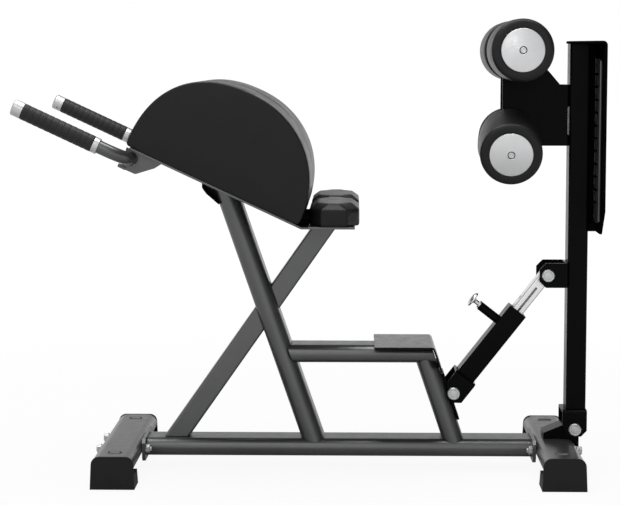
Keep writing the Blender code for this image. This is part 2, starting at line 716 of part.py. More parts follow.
def legs():
    """Front leg, brace, short leg and step beam, each cut to fit the tube that it stands on."""
    beam_half = oval_half(BEAM_WIDTH, TUBE_HEIGHT)
    leg_half = oval_half(LEG_WIDTH, FRONT_LEG_THICKNESS)
    step_half = oval_half(STEP_BEAM_WIDTH, TUBE_HEIGHT)
    tilt_normal = Vector((math.sin(PAD_TILT), 0.0, math.cos(PAD_TILT)))
    drop = PAD_BASE_THICKNESS + GAP
    under_tilt = Vector((PAD_SEAT_X, 0.0, PAD_SEAT_Z)) - tilt_normal * drop
    under_flat = Vector((0.0, 0.0, PAD_SEAT_Z - drop))
    prism("front_leg", oval_tube(FRONT_LEG_THICKNESS, LEG_WIDTH, TUBE_WALL),
          coped_end(FRONT_LEG_FRAME, BEAM_FRAME, -1.0, beam_half),
          plane_end(FRONT_LEG_FRAME, under_tilt, tilt_normal), FRONT_LEG_FRAME, "frame_paint")
    brace = box_tube(BRACE_THICKNESS, BRACE_WIDTH, TUBE_WALL, BRACE_CORNER)
    leg_normal = FRONT_LEG_FRAME.to_3x3() @ X_AXIS
    reach = leg_normal * (FRONT_LEG_THICKNESS / 2.0 + GAP)
    prism("brace_lower", brace, coped_end(BRACE_FRAME, BEAM_FRAME, -1.0, beam_half),
          plane_end(BRACE_FRAME, FRONT_LEG_FRAME.translation - reach, leg_normal), BRACE_FRAME, "frame_paint")
    prism("brace_upper", brace, plane_end(BRACE_FRAME, FRONT_LEG_FRAME.translation + reach, leg_normal),
          plane_end(BRACE_FRAME, under_flat, Z_AXIS), BRACE_FRAME, "frame_paint")
    prism("short_leg", oval_tube(SHORT_LEG_THICKNESS, LEG_WIDTH, TUBE_WALL),
          coped_end(SHORT_LEG_FRAME, BEAM_FRAME, -1.0, beam_half),
          coped_end(SHORT_LEG_FRAME, STEP_BEAM_FRAME, 1.0, step_half), SHORT_LEG_FRAME, "frame_paint")
    short_normal = SHORT_LEG_FRAME.to_3x3() @ X_AXIS
    right_face = SHORT_LEG_FRAME.translation + short_normal * (SHORT_LEG_THICKNESS / 2.0 - STEP_BEAM_SHORT)
    step_tube = [divided(loop, 0.010) for loop in oval_tube(TUBE_HEIGHT, STEP_BEAM_WIDTH, TUBE_WALL)]
    prism("step_beam", step_tube,
          coped_end(STEP_BEAM_FRAME, FRONT_LEG_FRAME, 1.0, leg_half),
          plane_end(STEP_BEAM_FRAME, right_face, short_normal), STEP_BEAM_FRAME, "frame_paint")


def step_plate():
    """The folded step: a flat top and an apron that closes the end of the step beam."""
    half = STEP_PLATE_THICKNESS / 2.0
    short_normal = SHORT_LEG_FRAME.to_3x3() @ X_AXIS
    face = SHORT_LEG_FRAME.translation + short_normal * (SHORT_LEG_THICKNESS / 2.0 + GAP + half)
    middle = STEP_TOP - half
    up = SHORT_LEG_FRAME.to_3x3() @ Z_AXIS
    corner = face + up * ((middle - face.z) / up.z)
    foot_end = corner - up * (STEP_APRON / up.z)
    path = [(corner.x - STEP_PLATE_LENGTH, middle, 0.0), (corner.x, middle, STEP_PLATE_BEND),
            (foot_end.x, foot_end.z, 0.0)]
    outline = strip(path, STEP_PLATE_THICKNESS)
    prism("step_plate", [outline], -STEP_PLATE_WIDTH / 2.0, STEP_PLATE_WIDTH / 2.0, side_view(), "step_paint")


def pad_plate():
    """The folded base plate under both pairs of pads."""
    half = PAD_BASE_THICKNESS / 2.0
    shift = half * math.tan(PAD_TILT / 2.0)
    start = on_chord(PAD_CHORD - 0.004, -half)
    path = [(start[0], start[1], 0.0), (PAD_SEAT_X - shift, PAD_SEAT_Z - half, 0.012),
            (PAD_SEAT_X + PAD_BASE_REACH, PAD_SEAT_Z - half, 0.0)]
    prism("pad_plate", [strip(path, PAD_BASE_THICKNESS)], -PAD_BASE_WIDTH / 2.0, PAD_BASE_WIDTH / 2.0,
          side_view(), "frame_paint")


def pad_gusset():
    """A folded strip with a web inside it, in the corner between the front leg and the pad plate."""
    leg_normal = FRONT_LEG_FRAME.to_3x3() @ X_AXIS
    up = FRONT_LEG_FRAME.to_3x3() @ Z_AXIS
    face = FRONT_LEG_FRAME.translation - leg_normal * (FRONT_LEG_THICKNESS / 2.0 + GAP)
    normal = Vector((math.sin(PAD_TILT), 0.0, math.cos(PAD_TILT)))
    along = Vector((-math.cos(PAD_TILT), 0.0, math.sin(PAD_TILT)))
    under = Vector((PAD_SEAT_X, 0.0, PAD_SEAT_Z)) - normal * (PAD_BASE_THICKNESS + 2.0 * GAP)
    corner = face + up * ((under - face).dot(normal) / up.dot(normal))
    top = corner + along * (GUSSET_REACH - GUSSET_THICKNESS / 2.0)
    low = corner - up * (GUSSET_DEPTH - GUSSET_THICKNESS / 2.0)
    fold = top - Z_AXIS * GUSSET_DROP
    knee = low - X_AXIS * GUSSET_FOOT + Z_AXIS * GUSSET_FOOT * 0.87
    past = Z_AXIS * 0.01
    path = [(top.x, (top + past).z, 0.0), (fold.x, fold.z, 0.006), (knee.x, knee.z, 0.006),
            (low.x + 0.01, low.z - 0.0087, 0.0)]
    body = prism("pad_gusset", [strip(path, GUSSET_THICKNESS)], -GUSSET_WIDTH / 2.0, GUSSET_WIDTH / 2.0,
                 side_view(), "black_paint")
    inside = [(x, z) for x, z, _ in path] + [(corner.x + 0.02, corner.z + 0.005)]
    web = prism("add_gusset_web", [inside], -GUSSET_THICKNESS / 2.0, GUSSET_THICKNESS / 2.0, side_view())
    combine(body, [web], "UNION")
    region = [corner, corner + along * 0.2, corner + along * 0.2 - up * 0.3, corner - up * 0.3]
    trim = prism("trim_pad_gusset", [[(p.x, p.z) for p in region]], -GUSSET_WIDTH, GUSSET_WIDTH, side_view())
    combine(body, [trim], "INTERSECT")


def half_moon(inset):
    """The thigh pad's outline, drawn in by inset, as world x and z."""
    points = []
    seat = GAP + inset * 0.35
    steps = 11
    for i in range(2 * steps + 1):
        angle = math.pi * i / (2 * steps)
        front = i > steps
        reach, power = ((THIGH_PAD_FRONT, THIGH_PAD_FRONT_POWER) if front
                        else (THIGH_PAD_BACK, THIGH_PAD_BACK_POWER))
        c, s = abs(math.cos(angle)), math.sin(angle)
        along = (reach - inset) * c ** (2.0 / power) * (1.0 if front else -1.0)
        above = (THIGH_PAD_HEIGHT - inset) * s ** (2.0 / power)
        points.append(on_chord(THIGH_PAD_CENTRE + along, THIGH_PAD_RISE + above))
    front_end = THIGH_PAD_CENTRE + THIGH_PAD_FRONT - inset
    back_end = THIGH_PAD_CENTRE - THIGH_PAD_BACK + inset
    round_off = THIGH_PAD_RISE - seat
    points += [on_chord(front_end - round_off * 0.3, seat + round_off * 0.3), on_chord(front_end - round_off, seat)]
    points += [on_chord(front_end + (back_end - front_end) * i / 6.0, seat) for i in (2, 4)]
    points += [on_chord(back_end + round_off, seat), on_chord(back_end + round_off * 0.3, seat + round_off * 0.3)]
    return points


def thigh_pad(near, sign):
    """One half of the half-moon pad, with a crowned face, rounded edges and slightly full sides."""
    inner, outer = THIGH_PAD_SPLIT / 2.0, PAD_WIDTH / 2.0
    width = outer - inner
    face = on_chord(THIGH_PAD_CENTRE, THIGH_PAD_HEIGHT * 0.42)
    stations = [(0.0, PAD_EDGE), (PAD_EDGE * 0.3, PAD_EDGE * 0.3), (PAD_EDGE, 0.0)]
    loops = []

    def ring(depth, inset):
        loops.append([(x, -sign * (inner + depth), z) for x, z in half_moon(inset)])

    def shrunk(depth, share):
        loops.append([(face[0] + (x - face[0]) * share, -sign * (inner + depth), face[1] + (z - face[1]) * share)
                      for x, z in half_moon(PAD_EDGE)])

    bulge = PAD_CROWN * 0.6
    shrunk(0.0, 0.35)
    shrunk(0.0, 0.75)
    for depth, inset in stations:
        ring(depth + (bulge * 0.2 if depth else 0.0), inset + PAD_CROWN)
    for share in (0.2, 0.5, 0.8):
        ring(width * share, PAD_CROWN * (2.0 * share - 1.0) ** 2)
    for depth, inset in reversed(stations):
        ring(width - bulge - depth, inset + PAD_CROWN)
    shrunk(width - bulge * 0.35, 0.75)
    shrunk(width, 0.35)
    rows = [[(x, y, z) for x, y, z in loop] for loop in loops]
    return rings("thigh_pad_" + near, rows, Matrix.Identity(4), "vinyl")


def knee_pad(near, sign):
    """One knee pad: eight-sided, with straight sides, a bevelled top edge and a crowned top."""
    inner, outer = KNEE_PAD_SPLIT / 2.0, PAD_WIDTH / 2.0
    middle_y, half_y = sign * (inner + outer) / 2.0, (outer - inner) / 2.0
    half_x = KNEE_PAD_LENGTH / 2.0
    middle_x = PAD_SEAT_X + KNEE_PAD_START + half_x

    def octagon(inset, height):
        x, y = half_x - inset, half_y - inset
        cx, cy = KNEE_PAD_CHAMFER_X, KNEE_PAD_CHAMFER_Y
        corner = [(x, y - cy), (x - cx / 2.0, y - cy / 2.0), (x - cx, y)]
        points = list(corner) + [(0.0, y)]
        points += [(-a, b) for a, b in reversed(corner)] + [(-x, 0.0)]
        points += [(-a, -b) for a, b in corner] + [(0.0, -y)]
        points += [(a, -b) for a, b in reversed(corner)] + [(x, 0.0)]
        return [(middle_x + a, middle_y + b, PAD_SEAT_Z + height) for a, b in points]

    top = KNEE_PAD_SIDE + KNEE_PAD_BEVEL_HEIGHT
    loops = [octagon(0.0030, GAP), octagon(0.0008, 0.0030), octagon(0.0, KNEE_PAD_SIDE * 0.5),
             octagon(0.0006, KNEE_PAD_SIDE - 0.0020), octagon(0.0022, KNEE_PAD_SIDE),
             octagon(KNEE_PAD_BEVEL - 0.0020, top - 0.0012), octagon(KNEE_PAD_BEVEL, top - 0.0004),
             octagon(KNEE_PAD_BEVEL * 1.5, top + PAD_CROWN * 0.4)]
    return rings("knee_pad_" + near, loops, Matrix.Identity(4), "vinyl")


def handles():
    """The U-shaped handle bar, its two brackets, and the grip, collar and cap on each end."""
    cross = Vector((HANDLE_CROSS_X, 0.0, HANDLE_CROSS_Z))
    out = Vector((-math.cos(HANDLE_LEAN), 0.0, math.sin(HANDLE_LEAN)))
    half = PAD_BASE_WIDTH / 2.0 + HANDLE_OUTSIDE
    bar_end = HANDLE_LENGTH - GRIP_CAP_LENGTH - GAP
    plan = filleted([(bar_end, -half, 0.0), (0.0, -half, HANDLE_BEND), (0.0, half, HANDLE_BEND),
                     (bar_end, half, 0.0)], closed=False)
    path = [cross + out * s + Y_AXIS * y for s, y in plan]
    outer = swept(path, HANDLE_BAR_RADIUS, 12)
    inner = swept(path, HANDLE_BAR_RADIUS - HANDLE_BAR_WALL, 12)
    rings("handle_bar", outer + inner[::-1], Matrix.Identity(4), "frame_paint", closed=True)
    for near, sign in (("near", -1.0), ("far", 1.0)):
        handle_bracket(near, sign)
        frame = axes(cross + Y_AXIS * sign * half, Y_AXIS, out)
        bore = HANDLE_BAR_RADIUS + HOLE_CLEARANCE
        collar_start = GRIP_START - GAP - COLLAR_WIDTH
        lip = 0.0012
        turned("grip_collar_" + near,
               [(bore, collar_start), (GRIP_RADIUS, collar_start), (GRIP_RADIUS, GRIP_START - GAP),
                (bore, GRIP_START - GAP)], frame, "silver", 20)
        turned("grip_" + near,
               [(bore, GRIP_START), (GRIP_RADIUS - lip, GRIP_START), (GRIP_RADIUS, GRIP_START + lip),
                (GRIP_RADIUS, bar_end - lip), (GRIP_RADIUS - lip, bar_end), (bore, bar_end)],
               frame, "rubber", 20)
        plug = HANDLE_BAR_RADIUS - HANDLE_BAR_WALL - HOLE_CLEARANCE - GAP
        start = bar_end + GAP
        turned("grip_cap_" + near,
               [(0.0, start - GRIP_CAP_PLUG), (plug, start - GRIP_CAP_PLUG), (plug, start),
                (GRIP_RADIUS - lip, start), (GRIP_RADIUS, start + lip), (GRIP_RADIUS, HANDLE_LENGTH - 0.004),
                (GRIP_RADIUS - 0.0012, HANDLE_LENGTH - 0.0012), (GRIP_RADIUS - 0.004, HANDLE_LENGTH),
                (0.0, HANDLE_LENGTH)], frame, "silver", 20)


def handle_bracket(near, sign):
    """A cheek under the pad plate that holds the handle bar, with its clamp screw."""
    centre_y = sign * (PAD_BASE_WIDTH / 2.0 - HANDLE_BRACKET_INSET)
    half = HANDLE_BRACKET_THICKNESS / 2.0
    top = -PAD_BASE_THICKNESS - GAP
    corners = [(BRACKET_START, top, 0.0), (BRACKET_START - 0.0070, -0.0568, 0.004),
               (BRACKET_START - 0.0455, -0.0560, 0.006), (BRACKET_START - 0.0815, -0.0240, 0.006),
               (BRACKET_START - 0.0935, top, 0.0)]
    outline = [on_chord(a, b) for a, b in filleted(corners)]
    hole = circle((HANDLE_CROSS_X, HANDLE_CROSS_Z), HANDLE_BAR_RADIUS + HOLE_CLEARANCE, 18)
    body = prism("handle_bracket_" + near, [outline, hole], -centre_y - half, -centre_y + half, side_view(),
                 "frame_paint")
    screw_x, screw_z = on_chord(BRACKET_START - 0.0110, -0.0530)
    radius, end = CLAMP_SCREW_RADIUS, CLAMP_SCREW_OUT
    screw = turned("add_clamp_screw_" + near,
                   [(0.0, -CLAMP_SCREW_DEPTH), (radius, -CLAMP_SCREW_DEPTH), (radius, end - 0.0015),
                    (radius - 0.0015, end), (0.0, end)],
                   axes((screw_x, centre_y, screw_z), Y_AXIS, PAD_CHORD_FRAME.to_3x3() @ X_AXIS), steps=12)
    combine(body, [screw], "UNION")


def pivot_bolt(name, centre, radius, half_width, spacer=None):
    """A pivot bolt along Y with a domed cap at each end; spacer is (radius, from, to) on each side."""
    cap_face = half_width + GAP
    dome = [(CAP_RADIUS * math.cos(a), cap_face + CAP_HEIGHT * (0.30 + 0.70 * math.sin(a)))
            for a in (0.0, math.radians(45))]
    half = [(0.0, cap_face + CAP_HEIGHT), *reversed(dome), (CAP_RADIUS, cap_face), (radius, cap_face)]
    if spacer:
        size, low, high = spacer
        half += [(radius, high), (size, high), (size, low), (radius, low)]
    profile = half + [(r, -h) for r, h in reversed(half)]
    return turned(name, profile, axes(centre, X_AXIS, Y_AXIS), "silver", 16)


def column_anchor():
    """The saddle welded on the right foot that carries the column's hinge."""
    half = ANCHOR_WIDTH / 2.0
    shoulder = TUBE_HEIGHT / 2.0
    centre = (RIGHT_FOOT_X + FOOT_TUBE_WIDTH / 2.0 - shoulder, BEAM_Z)
    left = PIVOT_X - ANCHOR_TAIL
    right = PIVOT_X + ANCHOR_NOSE
    floor = FOOT_TOP + GAP
    reach = right - centre[0]
    hug = shoulder + GAP
    drop = math.radians(8.0)
    outline = arc(centre, hug, math.pi / 2.0, drop)
    outline += [(right, centre[1] + hug * math.sin(drop))] if reach > hug else []
    crown = arc((PIVOT_X, PIVOT_Z), HUB_RADIUS + 0.002, math.radians(-35.0), math.radians(110.0))
    outline += [(right, crown[0][1])] + crown + [(left, FOOT_TOP + ANCHOR_TAIL_HEIGHT), (left, floor)]
    body = prism("column_anchor", [outline], -half, half, side_view(), "black_paint")
    wall = ANCHOR_WALL
    pocket = [(left + wall, FOOT_TOP - wall), (centre[0] - 0.006, FOOT_TOP - wall),
              (centre[0] - 0.006, FOOT_TOP + ANCHOR_TAIL_HEIGHT + 0.004 - wall * 0.3),
              (left + wall, FOOT_TOP + ANCHOR_TAIL_HEIGHT - wall)]
    pocket = prism("cut_anchor_pocket", [pocket], wall - half, half - wall, side_view())
    hub = turned("add_anchor_hub", [(0.0, -HUB_HALF), (HUB_RADIUS, -HUB_HALF), (HUB_RADIUS, HUB_HALF),
                                    (0.0, HUB_HALF)], axes(PIVOT, X_AXIS, Y_AXIS), steps=20)
    bore = drill("cut_anchor_bore", PIVOT, Y_AXIS, PIVOT_RADIUS + HOLE_CLEARANCE, 2.0 * BRACKET_WIDTH, 16)
    combine(body, [pocket], "DIFFERENCE")
    combine(body, [hub], "UNION")
    combine(body, [bore], "DIFFERENCE")
    pivot_bolt("column_pivot_bolt", PIVOT, PIVOT_RADIUS, PLATE_HALF)


def u_bracket(name, channel, channel_low, channel_high, channel_frame, profile, profile_frame, finish):
    """A folded channel trimmed to a side profile with holes."""
    body = prism(name, [channel], channel_low, channel_high, channel_frame, finish)
    trim = prism("trim_" + name, profile, -BRACKET_WIDTH, BRACKET_WIDTH, profile_frame)
    return combine(body, [trim], "INTERSECT")


def column():
    """Column tube, hinge fork, arm clevis, foot plate and its stay; returns the moving objects."""
    fork_bottom = PIVOT_Z - COLUMN_FORK_DROP
    web_top = PIVOT_Z + COLUMN_FORK_RISE
    left, right = COLUMN_X - COLUMN_FORK_LENGTH / 2.0 - 0.004, COLUMN_X + COLUMN_FORK_LENGTH / 2.0 - 0.004
    plate = BRACKET_PLATE
    middle = PLATE_HALF - plate / 2.0
    bend = plate
    channel = strip([(-middle, fork_bottom - 0.01, 0.0), (-middle, web_top - plate / 2.0, bend),
                     (middle, web_top - plate / 2.0, bend), (middle, fork_bottom - 0.01, 0.0)], plate)
    profile = [[(left, web_top + 0.01), (left, PIVOT_Z + 0.0075), (left + 0.011, fork_bottom),
                (right - 0.0146, fork_bottom), (right, fork_bottom + 0.0146), (right, web_top + 0.01)],
               circle((PIVOT_X, PIVOT_Z), PIVOT_RADIUS + HOLE_CLEARANCE, 16)]
    fork = u_bracket("column_fork", channel, left - 0.01, right + 0.01, lengthwise(), profile, side_view(),
                     "black_paint")
    tube = prism("column_tube", box_tube(COLUMN_THICKNESS, COLUMN_WIDTH, TUBE_WALL, COLUMN_CORNER),
                 web_top + GAP, COLUMN_TOP, upright((COLUMN_X, 0.0, 0.0)), "black_paint")
    return [fork, tube, clevis(), *foot_plate()]


def clevis():
    """The bracket on the column that takes the arm's upper end."""
    web = BRACKET_PLATE
    face = COLUMN_LEFT - GAP
    middle = PLATE_HALF - web / 2.0
    channel = strip([(face - CLEVIS_REACH - 0.01, -middle, 0.0), (face - web / 2.0, -middle, web),
                     (face - web / 2.0, middle, web), (face - CLEVIS_REACH - 0.01, middle, 0.0)], web)
    low, high = CLEVIS_PIVOT_Z - CLEVIS_HEIGHT / 2.0, CLEVIS_PIVOT_Z + CLEVIS_HEIGHT / 2.0
    left, chamfer = face - CLEVIS_REACH, CLEVIS_CHAMFER
    profile = [[(face + 0.01, low), (face + 0.01, high), (left + chamfer, high), (left, high - chamfer),
                (left, low + chamfer), (left + chamfer, low)],
               circle((ARM_HIGH.x, ARM_HIGH.z), CLEVIS_BOLT_RADIUS + HOLE_CLEARANCE, 18)]
    return u_bracket("arm_clevis", channel, low - 0.01, high + 0.01, upright(), profile, side_view(),
                     "black_paint")


def foot_plate():
    """The bent foot plate, its stay on the column and the slotted tread on its face."""
    t = FOOT_PLATE_THICKNESS
    middle_x = FOOT_PLATE_X + t / 2.0
    lip_z = COLUMN_TOP + GAP + t / 2.0
    path = [(middle_x, FOOT_PLATE_BOTTOM, 0.0), (middle_x, lip_z, FOOT_PLATE_BEND),
            (middle_x - FOOT_PLATE_LIP, lip_z, 0.0)]
    half = FOOT_PLATE_WIDTH / 2.0
    plate = prism("foot_plate", [strip(path, t)], -half, half, side_view(), "black_paint")
    cutters = []
    corner = FOOT_PLATE_CORNER
    for near, sign in (("near", -1.0), ("far", 1.0)):
        edge, low = sign * half, FOOT_PLATE_BOTTOM
        wedge = [(edge - sign * corner, low), (edge + sign * 0.02, low + corner + 0.02),
                 (edge + sign * 0.02, low - 0.02), (edge - sign * corner, low - 0.02)]
        cutters.append(prism("cut_plate_corner_" + near, [wedge], FOOT_PLATE_X - t, FOOT_PLATE_X + 2.0 * t,
                             lengthwise()))
        tip = middle_x - FOOT_PLATE_LIP
        root = FOOT_PLATE_X - FOOT_PLATE_BEND
        end = sign * FOOT_PLATE_LIP_END / 2.0
        slope = (edge - end) / (root - tip)
        taper = [(root, edge), (tip - 0.02, end - slope * 0.02), (tip - 0.02, edge + sign * 0.02),
                 (root, edge + sign * 0.02)]
        cutters.append(prism("cut_plate_lip_" + near, [taper], COLUMN_TOP - t, COLUMN_TOP + 3.0 * t, upright()))
    combine(plate, cutters, "DIFFERENCE")
    stay_from = COLUMN_X + COLUMN_THICKNESS / 2.0 + GAP
    stay = prism("foot_plate_stay", box_tube(STAY_WIDTH, STAY_HEIGHT, STAY_WALL, 0.004), stay_from,
                 FOOT_PLATE_X - GAP, lengthwise((0.0, 0.0, STAY_BOTTOM + STAY_HEIGHT / 2.0)), "black_paint")
    return [plate, stay, tread()]


def tread():
    """The rubber tread, with a row of slots through it."""
    half, cut_x, cut_z = TREAD_WIDTH / 2.0, TREAD_CHAMFER_X, TREAD_CHAMFER_Z
    outline = filleted([(half - cut_x, TREAD_BOTTOM, 0.006), (half, TREAD_BOTTOM + cut_z, 0.006),
                        (half, TREAD_TOP, TREAD_CORNER), (-half, TREAD_TOP, TREAD_CORNER),
                        (-half, TREAD_BOTTOM + cut_z, 0.006), (cut_x - half, TREAD_BOTTOM, 0.006)])
    slots = [rounded_rectangle(TREAD_SLOT_LENGTH, TREAD_SLOT_HEIGHT, TREAD_SLOT_HEIGHT * 0.45,
                               (0.0, TREAD_BOTTOM + TREAD_FIRST_SLOT + TREAD_SLOT_PITCH * i))
             for i in range(TREAD_SLOTS)]
    face = FOOT_PLATE_X - GAP
    return prism("tread_mat", [outline, *slots], face - TREAD_THICKNESS, face, lengthwise(), "rubber")


def carriage():
    """The welded roller carriage on the column: two side plates and the lands between them."""
    face = COLUMN_LEFT - GAP
    t = CARRIAGE_PLATE
    middle = CARRIAGE_WIDTH / 2.0 - t / 2.0
    left = COLUMN_X - CARRIAGE_REACH
    channel = strip([(left - 0.03, -middle, 0.0), (face - t / 2.0, -middle, t), (face - t / 2.0, middle, t),
                     (left - 0.03, middle, 0.0)], t)
    top = UPPER_AXLE_Z + 0.0300
    slope_top_x = face - CARRIAGE_SLOPE_OUT - CARRIAGE_SLOPE_RUN
    slope_run = CARRIAGE_SLOPE_RUN / CARRIAGE_SLOPE_RISE
    top_x = slope_top_x - (top - CARRIAGE_LAND_TOP - CARRIAGE_SLOPE_RISE) * slope_run
    slot = face - CARRIAGE_SLOT_DEPTH
    corners = [(left, top, 0.028), (top_x, top, 0.018), (face - CARRIAGE_SLOPE_OUT, CARRIAGE_LAND_TOP, 0.006),
               (face + t, CARRIAGE_LAND_TOP, 0.0), (face + t, CARRIAGE_SLOT_TOP, 0.0),
               (slot, CARRIAGE_SLOT_TOP, 0.004), (slot, CARRIAGE_SLOT_BOTTOM, 0.004),
               (face + t, CARRIAGE_SLOT_BOTTOM, 0.0), (face + t, CARRIAGE_BOTTOM, 0.0),
               (left, CARRIAGE_BOTTOM, 0.020)]
    bore = circle((UPPER_AXLE_X, UPPER_AXLE_Z), AXLE_RADIUS + HOLE_CLEARANCE, 18)
    body = u_bracket("roller_carriage", channel, CARRIAGE_BOTTOM - 0.01, top + 0.01, upright(),
                     [filleted(corners), bore], side_view(), "black_paint")
    hole = rings("cut_lower_axle", swept(lower_axle_path(CARRIAGE_WIDTH), AXLE_RADIUS + HOLE_CLEARANCE, 16),
                 Matrix.Identity(4))
    return combine(body, [hole], "DIFFERENCE")


def lower_direction(sign):
    """The direction of one end of the lower axle, which droops outward and is turned a little in plan."""
    flat = math.cos(LOWER_DROOP)
    return Vector((sign * math.sin(LOWER_YAW) * flat, sign * math.cos(LOWER_YAW) * flat, -math.sin(LOWER_DROOP)))


def lower_axle_path(reach):
    middle = Vector((LOWER_AXLE_X, 0.0, LOWER_AXLE_Z))
    return [middle + lower_direction(-1.0) * reach, middle, middle + lower_direction(1.0) * reach]


def axle_end(name, centre, direction):
    """The bolt head at the end of an axle, a solid to be joined to it."""
    height = AXLE_BOLT_HEIGHT
    return turned(name, [(0.0, -0.012), (AXLE_BOLT_RADIUS, -0.012), (AXLE_BOLT_RADIUS, height - 0.0015),
                         (AXLE_BOLT_RADIUS - 0.0015, height), (0.0, height)],
                  axes(centre, X_AXIS, direction), steps=12)


def rollers():
    """Both axles, and a foam roller and a hub cap on each end of each; returns the roller groups."""
    upper = Vector((UPPER_AXLE_X, 0.0, UPPER_AXLE_Z))
    lower = Vector((LOWER_AXLE_X, 0.0, LOWER_AXLE_Z))
    upper_reach = UPPER_ROLLER_START + ROLLER_LENGTH - 0.001
    lower_reach = LOWER_ROLLER_START + ROLLER_LENGTH - 0.001
    upper_axle = drill("upper_axle", upper, Y_AXIS, AXLE_RADIUS, 2.0 * upper_reach, 16)
    lower_axle = rings("lower_axle", swept(lower_axle_path(lower_reach), AXLE_RADIUS, 16), Matrix.Identity(4))
    groups = []
    for axle, level, centre, start, reach in (
            (upper_axle, "upper", upper, UPPER_ROLLER_START, upper_reach),
            (lower_axle, "lower", lower, LOWER_ROLLER_START, lower_reach)):
        show(axle, "steel")
        heads = []
        for near, sign in (("near", -1.0), ("far", 1.0)):
            direction = Y_AXIS * sign if level == "upper" else lower_direction(sign)
            heads.append(axle_end("add_axle_head_%s_%s" % (level, near), centre + direction * reach, direction))
            groups.append(roller("%s_%s" % (level, near), centre, direction, start))
        combine(axle, heads, "UNION")
    return [upper_axle, lower_axle], groups


def show(obj, finish):
    """Turns a construction solid into a visible piece."""
    obj.hide_render = False
    obj.display_type = "TEXTURED"
    obj.data.materials.append(finish_material(obj.name, finish))


def roller(place, centre, direction, start):
    """One foam roller with its hub cap, and the marker of the axis that both spin about."""
    frame = axes(centre, X_AXIS, direction)
    end = start + ROLLER_LENGTH
    edge = ROLLER_EDGE
    radius = ROLLER_RADIUS
    profile = [(ROLLER_BORE, start), (radius - edge, start)]
    turn = edge * (1.0 - math.cos(math.pi / 4.0))
    profile += [(radius - turn, start + turn), (radius, start + edge), (radius, end - edge),
                (radius - turn, end - turn), (radius - edge, end), (ROLLER_BORE, end)]
    foam = turned("foam_roller_" + place, profile, frame, "foam", 28)
    face = end + GAP
    dome = [(HUB_CAP_RADIUS * s, face + HUB_CAP_HEIGHT * (1.0 - s * s * 0.8))
            for s in (0.92, 0.5)]
    cap = turned("hub_cap_" + place,
                 [(HUB_CAP_BORE, face), (HUB_CAP_RADIUS, face), (HUB_CAP_RADIUS, face + 0.001), *dome,
                  (HUB_CAP_BORE + 0.0035, face + HUB_CAP_HEIGHT), (HUB_CAP_BORE, face + HUB_CAP_HEIGHT - 0.001)],
                 frame, "silver", 16)
    axis = marker("spin_" + place, centre + direction * start, direction)
    carry(axis, foam, cap)
    return axis


def arm_anchor():
    """The plate and hub on the short leg that carry the arm's lower pivot."""
    outer = SHORT_LEG_THICKNESS / 2.0
    plate_low = outer + GAP
    plate_high = plate_low + ARM_PLATE_THICKNESS
    half = ARM_PLATE_WIDTH / 2.0
    rise = ARM_PIVOT_RISE
    body = prism("arm_anchor", [[(plate_low, -half), (plate_high, -half), (plate_high, half), (plate_low, half)]],
                 rise - ARM_PLATE_DOWN, rise + ARM_PLATE_UP, SHORT_LEG_FRAME, "black_paint")
    hub_frame = axes(ARM_LOW, SHORT_LEG_FRAME.to_3x3() @ X_AXIS, Y_AXIS)
    cut = plate_low + ARM_PLATE_THICKNESS / 2.0 - outer - ARM_PIVOT_STANDOFF
    start = math.acos(cut / HUB_RADIUS)
    outline = arc((0.0, 0.0), HUB_RADIUS, -start, start)
    hub = prism("add_arm_hub", [outline], -HUB_HALF, HUB_HALF, hub_frame)
    bore = drill("cut_arm_bore", ARM_LOW, Y_AXIS, PIVOT_RADIUS + HOLE_CLEARANCE, 2.0 * BRACKET_WIDTH, 16)
    combine(body, [hub], "UNION")
    combine(body, [bore], "DIFFERENCE")
    pivot_bolt("arm_pivot_bolt", ARM_LOW, PIVOT_RADIUS, PLATE_HALF)


def arm_fork():
    """The fork at the arm's lower end, relieved where it swings past the short leg."""
    plate = BRACKET_PLATE
    middle = PLATE_HALF - plate / 2.0
    web = ARM_FORK_WEB - plate / 2.0
    channel = strip([(-middle, -0.04, 0.0), (-middle, web, plate), (middle, web, plate), (middle, -0.04, 0.0)],
                    plate)
    half, tail, relief = ARM_FORK_HALF, ARM_FORK_TAIL, ARM_FORK_RELIEF
    arm_x = ARM_FRAME.to_3x3() @ X_AXIS
    arm_z = ARM_FRAME.to_3x3() @ Z_AXIS
    toward_leg = SHORT_LEG_FRAME.to_3x3() @ -X_AXIS
    facing = math.atan2(toward_leg.dot(arm_z), toward_leg.dot(arm_x)) % (2.0 * math.pi)
    low, high = facing + ARM_FORK_SWING, facing - ARM_FORK_SWING
    tail_x = (relief + tail * math.sin(low)) / math.cos(low)
    profile = [(half, ARM_FORK_WEB + 0.01), (half, -ARM_FORK_SHOULDER), (half - ARM_FORK_CHAMFER, -tail),
               (tail_x, -tail)]
    profile += arc((0.0, 0.0), relief, low, high)
    profile += [(-half, ARM_FORK_HEEL), (-half, ARM_FORK_WEB + 0.01)]
    hole = circle((0.0, 0.0), PIVOT_RADIUS + HOLE_CLEARANCE, 16)
    side = axes(ARM_LOW, arm_x, arm_x.cross(arm_z))
    channel_frame = axes(ARM_LOW, Y_AXIS, Y_AXIS.cross(arm_z))
    return u_bracket("arm_fork", channel, -2.0 * half, 2.0 * half, channel_frame, [profile, hole], side,
                     "black_paint")


